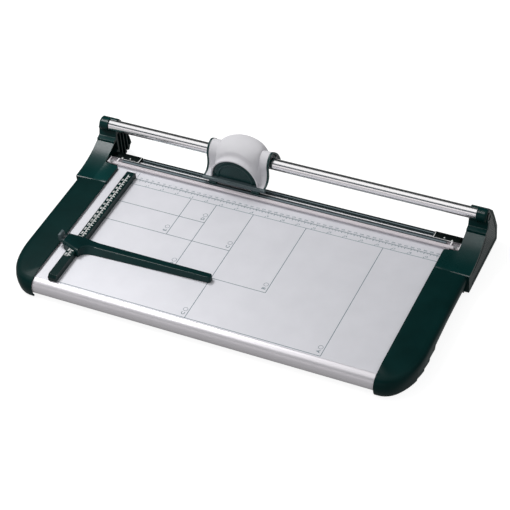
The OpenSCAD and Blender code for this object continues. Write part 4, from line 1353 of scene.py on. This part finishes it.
@dataclass
class PaperStop:
    """Side guide with its scale, the sliding stop arm and its release lever."""

    guide_x: Flat = (-247.5, -234.0)
    guide_y: Flat = (-299.5, -47.0)
    guide_h: float = 10.5
    rear: float = -211.0
    saddle_x: float = -260.0
    saddle_top: float = 14.8
    arm_low: float = 0.6
    arm_top: float = 10.6
    bend_x: Flat = (-230.0, -208.0)
    tip_x: float = -21.0
    tip_half: float = 5.25
    tip_r: float = 3.0
    end_r: float = 1.6
    pivot: Flat = (-263.5, 8.0)
    pivot_r: float = 1.55

    def build(self) -> None:
        """Makes the guide, the arm and the lever."""
        self._guide()
        self._scale()
        self._arm()
        self._lever()

    def _guide(self) -> None:
        """Long black guide bar with a sloped front end."""
        low, high = self.guide_y
        corners = [(low, 0.05, 0.2), (high, 0.05, 0.2), (high, 8.6, 0.6), (high - 2.4, self.guide_h, 0.6)]
        corners += [(low + 4.0, self.guide_h, 0.8), (low, self.guide_h - 4.0, 0.8)]
        bar_ = bar("guide_bar", rounded(corners, 3), Axis.X, *self.guide_x, 0.7, 3)
        mount(flat_faced(bar_), Body.BASE, GUIDE_PLASTIC, "side_guide")

    def _scale(self) -> None:
        """White scale on top of the guide."""
        marks = Lettering(self.guide_h + 0.04)
        line = self.guide_x[0] + 6.6
        marks.stroke((line, -56.0), (line, -253.0), 1.1)
        for k in range(194):
            y = -60.0 - k
            reach, wide = (4.2, 1.5) if k % 10 == 0 else (3.0, 1.1) if k % 5 == 0 else (1.6, 0.3)
            marks.stroke((line, y), (line + reach, y), wide)
            if k % 10 == 0 and k:
                marks.number(str(k), (line - 3.2, y), 4.6, 0.14, 90)
        marks.piece("guide_scale", Body.BASE, SCALE_WHITE)

    def _front_edges(self, x: float) -> Flat:
        """Front edge of the arm, seen from above.

        Args:
            x: Place along the arm.

        Returns:
            The edge at the arm's foot and at its top.
        """
        if x <= self.bend_x[0]:
            edge = mix(-231.5, -240.5, ease(-266.0, self.bend_x[0], x))
            return edge, edge + 0.6
        if x < self.bend_x[1]:
            rise = math.sqrt(1 - ((x - self.bend_x[1]) / (self.bend_x[1] - self.bend_x[0])) ** 2)
            return mix(-240.5, -229.2, rise), mix(-239.9, -222.0, rise)
        slope = min(1.0, (x - self.bend_x[1]) / (self.tip_x - self.tip_r - self.bend_x[1]))
        tip = self.rear - 2 * self.tip_half
        return mix(-229.2, tip, slope), mix(-222.0, tip + 1.2, slope)

    def _section(self, x: float) -> list[Spot]:
        """Section of the arm.

        Args:
            x: Place along the arm.

        Returns:
            Points round the section, drawn in at both ends of the arm.
        """
        front, brow = self._front_edges(x)
        past = max(0.0, x - (self.tip_x - self.tip_r))
        pinch = self.tip_r - math.sqrt(max(0.0, self.tip_r ** 2 - past ** 2))
        start = max(0.0, self.end_r - (x - self.saddle_x))
        pinch += self.end_r - math.sqrt(max(0.0, self.end_r ** 2 - start ** 2))
        top = mix(self.saddle_top, self.arm_top, ease(-240.0, -206.0, x)) - min(self.end_r, pinch)
        slim = mix(2.8, 1.2, ease(-190.0, -40.0, x))
        brow_r = mix(4.2, slim, ease(-236.0, -204.0, x))
        back = self.rear - pinch
        corners = [(front + pinch, self.arm_low, 0.4), (back, self.arm_low, 0.4), (back, top, 1.0)]
        return [(x, y, z) for y, z in rounded([*corners, (brow + pinch, top, brow_r)], 4)]

    def _arm(self) -> None:
        """Stop arm that swells into the saddle over the guide."""
        places = [self.saddle_x + d for d in (0.0, 0.5, self.end_r)] + [-256.0 + 2.3 * i for i in range(24)]
        places += [self.bend_x[0] + d for d in (0.0, 0.1, 0.4, 0.9, 1.5)]
        places += [mix(-203.0, -25.0, i / 16) for i in range(1, 17)]
        tip = self.tip_x - self.tip_r
        places += [tip + self.tip_r * math.sin(math.radians(a)) for a in (0, 20, 40, 55, 70, 82, 90)]
        arm = loft("stop_arm_body", [self._section(x) for x in sorted(places)], solid=True, crease=50.0)
        channel = [(-247.8, -1.0), (-233.7, -1.0), (-233.7, 10.8), (-247.8, 10.8)]
        carve(arm, bar("channel", channel, Axis.Y, -300.0, -180.0))
        carve(arm, block("window", (-264.0, LEVER_Y - 6.3, 3.5), (-247.0, LEVER_Y + 6.3, 10.5), 0.0))
        seat = [(0, -262), (1.9, -262), (1.9, -258.7), (0, -258.7)]
        carve(arm, turned("spring_seat", seat, Axis.X, (0, LEVER_Y, 12.6), 24))
        parts = [arm]
        ear = [(-266.1, 5.4, 2.4), (-259.0, 5.4, 0.2), (-259.0, 10.6, 0.2), (-266.1, 10.6, 2.4)]
        for y in (LEVER_Y - 7.5, LEVER_Y + 7.5):
            plate = bar("ear", rounded(ear, 6), Axis.Y, y - 1.2, y + 1.2, 0.3)
            carve(plate, self._eye(y - 3, y + 3))
            parts.append(plate)
        for i in range(6):
            x = -255.2 + 1.9 * i
            ridge = rounded([(x, 11.2, 0), (x + 1.1, 11.2, 0), (x + 0.8, 15.2, 0.3), (x + 0.3, 15.2, 0.3)], 2)
            parts.append(bar("ridge", ridge, Axis.Y, -233.0, -221.5, 0.15, warp=self._pad_tilt))
        mount(flat_faced(gathered("stop_arm_body", parts)), Body.STOP, ARM_PLASTIC, "stop_arm")

    def _eye(self, low: float, high: float) -> bpy.types.Object:
        """Tool for the lever pin's hole between two places along y."""
        r, (x, z) = self.pivot_r, self.pivot
        return turned("eye", [(0, low), (r, low), (r, high), (0, high)], Axis.Y, (x, 0, z), 24)

    def _pad_tilt(self, point: Spot) -> Spot:
        """Lets the ridges of the thumb pad follow the saddle's rounded front.

        Args:
            point: A point of a straight ridge.

        Returns:
            Its place on the saddle.
        """
        x, y, z = point
        return (x, y, z - (1.6 * ease(-227.0, -234.0, y) if z > 12.0 else 0.0))

    def _lever(self) -> None:
        """Release lever with its ribbed tab."""
        corners = [(-271.0, 19.9, 1.6), (-266.6, 19.9, 1.6), (-265.7, 10.6, 1.0), (-252.4, 8.7, 0.3)]
        corners += [(-252.4, 6.1, 0.3), (-266.5, 5.5, 2.0), (-271.0, 9.0, 2.0)]
        lever = bar("lever_tab", rounded(corners, 4), Axis.Y, LEVER_Y - 6.0, LEVER_Y + 6.0, 0.6)
        carve(lever, self._eye(-240, -200))
        parts = [lever]
        for i in range(4):
            z = 12.0 + 1.9 * i
            corners = [(-271.2, z, 0.3), (-270.5, z - 0.2, 0), (-270.5, z + 1.1, 0), (-271.2, z + 0.9, 0.3)]
            rib = rounded(corners, 2)
            parts.append(bar("rib", rib, Axis.Y, LEVER_Y - 5.0, LEVER_Y + 5.0, 0.12))
        # The lever tab takes the lighter tone of painted light.
        mount(gathered("lever_tab", parts), Body.LEVER, LIT_GREY_PLASTIC, "release_lever")


@dataclass(frozen=True)
class Coil:
    """Coil spring in the form of its frame node."""

    name: str
    node: str
    body: Body
    joint: str
    axis: Spot
    fixed_end: Spot
    keep: float

    def build(self) -> None:
        """Makes the spring in the form of its frame node."""
        made = bpy.data.objects.new(self.name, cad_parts[self.node].data.copy())
        bpy.context.scene.collection.objects.link(made)
        mount(made, self.body, SPRING_WIRE, self.node)
        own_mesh(made)


COILS = (
    Coil("head_coils", "press_springs", Body.CARRIAGE, "head_press", (0, 0, 1), (HEAD_X, 28.1, 33.0), 0.74),
    Coil("strip_coils", "lift_springs", Body.BASE, "strip_press", (0, 0, 1), (0.0, STRIP_PIN[1], -8.6), 0.74),
    Coil("lever_coil", "lever_spring", Body.STOP, "lever_pinch", (1, 0, 0), (-258.8, LEVER_Y, 12.6), 0.77),
)


# Studio


def white_for_sight(tree: bpy.types.NodeTree, mirrored: float = 1.0) -> bpy.types.NodeSocket:
    """Adds nodes that tell rays that show the background from rays that light.

    Args:
        tree: Node tree of the floor or the world.
        mirrored: How much of the white a glossy ray shows.

    Returns:
        Socket that is 1 for camera and transmission rays and the share for glossy rays.
    """
    rays = added(tree, "LightPath", {}).outputs
    seen = rays["Is Camera Ray"]
    for kind, part in (("Is Transmission Ray", 1.0), ("Is Glossy Ray", mirrored)):
        share = added(tree, "Math", {0: rays[kind], 1: part}, "MULTIPLY").outputs[0]
        seen = added(tree, "Math", {0: seen, 1: share}, "MAXIMUM").outputs[0]
    return seen


LEFT_TOWER = ("left_tower_shell", "left_tower_foot")
RIGHT_TOWER = ("right_tower_shell", "right_tower_foot")


@dataclass(frozen=True)
class Lamp:
    """Soft light aimed at a point of the trimmer, in metres of the frame.

    It lights everything but the pieces that it is kept off, or nothing but those that it is only on.
    """

    name: str
    place: Spot
    aim: Spot
    size: Flat
    watts: float
    color: Color = (1.0, 1.0, 1.0)
    kept_off: tuple[str, ...] = ("chrome_rail",)
    only_on: tuple[str, ...] = ()

    def hang(self) -> None:
        """Puts the lamp into the scene."""
        light = bpy.data.lights.new(self.name, "AREA")
        light.shape = "RECTANGLE"
        light.size, light.size_y = self.size
        light.energy = self.watts
        light.color = self.color
        holder = bpy.data.objects.new(self.name, light)
        holder.location = self.place
        holder.rotation_mode = "QUATERNION"
        holder.rotation_quaternion = (Vector(self.aim) - Vector(self.place)).to_track_quat("-Z", "Y")
        bpy.context.scene.collection.objects.link(holder)

    def shield(self) -> None:
        """Keeps the lamp's light off some pieces, or on a few alone."""
        flagged = bpy.data.collections.new(f"{self.name}_flag")
        for name in self.only_on or self.kept_off:
            flagged.objects.link(bpy.data.objects[name])
        for entry in flagged.collection_objects:
            entry.light_linking.link_state = "INCLUDE" if self.only_on else "EXCLUDE"
        bpy.data.objects[self.name].light_linking.receiver_collection = flagged


@dataclass
class Studio:
    """Camera, pale floor, white surroundings and lamps of the picture."""

    camera_place: Spot = (0.8783, -1.6135, 1.7171)
    camera_right: Spot = (0.9062, 0.4177, -0.0664)
    camera_up: Spot = (-0.2406, 0.6384, 0.7313)
    camera_back: Spot = (0.3478, -0.6466, 0.6790)
    lens: float = 119.06
    soft_light: float = 0.5
    right_wall: Color = (0.32, 0.39, 0.41)
    tent: tuple[tuple[float, Color], ...] = (
        (-180.0, (0.05, 0.05, 0.05)), (-70.0, (0.35, 0.35, 0.36)), (3.0, (0.34, 0.35, 0.38)),
        (14.0, (0.9, 0.87, 0.88)), (30.0, (0.95, 0.92, 0.93)), (34.0, (0.05, 0.07, 0.08)),
        (58.0, (0.05, 0.07, 0.08)), (61.0, (1.0, 1.0, 1.0)), (114.0, (1.0, 1.0, 1.0)),
        (120.0, (0.04, 0.05, 0.05)), (180.0, (0.03, 0.03, 0.03)),
    )
    floor_tone: float = 0.32
    floor_glow: float = 0.86
    floor_mirrored: float = 0.25
    lamps: tuple[Lamp, ...] = (
        Lamp(
            "overhead_left", (-0.92, 0.42, 1.6), (-0.1, 0.0, 0.0), (0.5, 0.5), 13.0,
            kept_off=("chrome_rail", "left_tower_shell", "stop_arm_body"),
        ),
        Lamp("front_left", (-1.3, -1.75, 1.75), (-0.1, -0.05, 0.0), (0.5, 0.5), 0.6),
        Lamp("seam_left", (-0.78, -0.46, 1.6), (-0.2, -0.05, 0.03), (0.45, 0.26), 4.0),
        Lamp(
            "ramp_left", (-1.09, -0.02, 1.6), (-0.31, 0.12, 0.05), (0.4, 0.65), 28.0, (1.0, 0.98, 1.0),
            only_on=LEFT_TOWER,
        ),
        Lamp("edge_left", (-1.12, -0.36, 1.6), (-0.3, 0.06, 0.03), (0.34, 0.34), 14.0, only_on=LEFT_TOWER),
        Lamp("edge_right", (-0.08, -0.36, 1.6), (0.3, 0.06, 0.03), (0.34, 0.34), 8.0, only_on=RIGHT_TOWER),
        Lamp(
            "arm_front", (-0.78, -0.98, 1.58), (-0.12, -0.09, 0.04), (0.45, 0.45), 14.0,
            only_on=("stop_arm_body",),
        ),
        Lamp(
            "ramp_right", (-0.06, 0.04, 1.6), (0.31, 0.12, 0.05), (0.4, 0.4), 4.6, (1.0, 0.98, 1.0),
            only_on=RIGHT_TOWER,
        ),
    )

    def build(self) -> None:
        """Sets up the camera, the surroundings, the floor and the lamps."""
        scene = bpy.context.scene
        scene.view_settings.view_transform = "Standard"
        data = bpy.data.cameras.new("camera")
        data.lens, data.sensor_width, data.sensor_height = self.lens, 36.0, 36.0
        data.clip_start, data.clip_end = 0.05, 50.0
        camera = bpy.data.objects.new("camera", data)
        columns = [Vector(v).normalized() for v in (self.camera_right, self.camera_up, self.camera_back)]
        pose = Matrix([[c[i] for c in columns] for i in range(3)]).to_4x4()
        camera.matrix_world = Matrix.Translation(self.camera_place) @ pose
        scene.collection.objects.link(camera)
        scene.camera = camera
        self._surroundings()
        self._floor()
        for lamp in self.lamps:
            lamp.hang()

    def _surroundings(self) -> None:
        """White world that lights softly, and that metal mirrors as a tent with a dark slit and rear."""
        world = bpy.data.worlds.new("studio")
        bpy.context.scene.world = world
        world.use_nodes = True
        tree = world.node_tree
        place = added(tree, "TexCoord", {}).outputs["Generated"]
        split = added(tree, "SeparateXYZ", {"Vector": place}).outputs
        forward = added(tree, "Math", {0: split["Y"], 1: -1.0}, "MULTIPLY").outputs[0]
        turn = added(tree, "Math", {0: split["Z"], 1: forward}, "ARCTAN2").outputs[0]
        share = added(tree, "MapRange", {"From Min": -math.pi, "From Max": math.pi, "Value": turn})
        ramp = added(tree, "ValToRGB", {"Fac": share.outputs["Result"]})
        stops = ramp.color_ramp.elements
        for degrees, color in self.tent:
            along = (degrees + 180.0) / 360.0
            stop = stops[0] if along <= 0 else stops[-1] if along >= 1 else stops.new(along)
            stop.color = (*color, 1.0)
        aside = added(tree, "MapRange", {
            "From Min": 0.15, "From Max": 0.45, "To Max": 0.6, "Value": split["X"],
        })
        wall = added(tree, "Mix", {
            "Factor": aside.outputs["Result"], "A": ramp.outputs["Color"], "B": (*self.right_wall, 1.0),
        }, "RGBA")
        glossy = added(tree, "LightPath", {}).outputs["Is Glossy Ray"]
        pick = added(tree, "Mix", {
            "Factor": glossy, "A": (1.0, 1.0, 1.0, 1.0), "B": wall.outputs["Result"],
        }, "RGBA")
        level = added(tree, "MapRange", {"To Min": self.soft_light, "Value": white_for_sight(tree)})
        feed(tree, tree.nodes["Background"], {
            "Color": pick.outputs["Result"], "Strength": level.outputs["Result"],
        })

    def _floor(self) -> None:
        """Pale floor that shows white and keeps the trimmer's shadow."""
        shape = bmesh.new()
        bmesh.ops.create_grid(shape, x_segments=2, y_segments=2, size=6.0)
        floor = shown("floor", shape)
        paint = bpy.data.materials.new("floor_paper")
        paint.use_nodes = True
        tree = paint.node_tree
        white = white_for_sight(tree, self.floor_mirrored)
        glow = added(tree, "MapRange", {"To Max": self.floor_glow, "Value": white})
        feed(tree, tree.nodes["Principled BSDF"], {
            "Base Color": (self.floor_tone, self.floor_tone, self.floor_tone, 1.0), "Roughness": 0.9,
            "Emission Color": (1.0, 1.0, 1.0, 1.0), "Emission Strength": glow.outputs["Result"],
        })
        floor.data.materials.append(paint)


def dress_nodes() -> None:
    """Gives every frame node that stays in sight its finish."""
    for name, finish in NODE_FINISH.items():
        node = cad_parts[name]
        node.data.materials.clear()
        node.data.materials.append(finish.material())
        LOG.info("%s keeps its shape in %s", name, finish.name)


def main() -> None:
    """Builds the studio and the trimmer's sub-assemblies in order."""
    logging.basicConfig(level=logging.INFO, format="%(name)s: %(message)s")
    studio = Studio()
    studio.build()
    dress_nodes()
    wings = [Wing(side) for side in Side]
    towers = [Tower(side) for side in Side]
    for assembly in (Table(), CutLine(), *wings, *towers, Rail(), CutterHead(), PaperStop(), *COILS):
        assembly.build()
    for lamp in studio.lamps:
        lamp.shield()


if __name__ == "__main__":
    main()
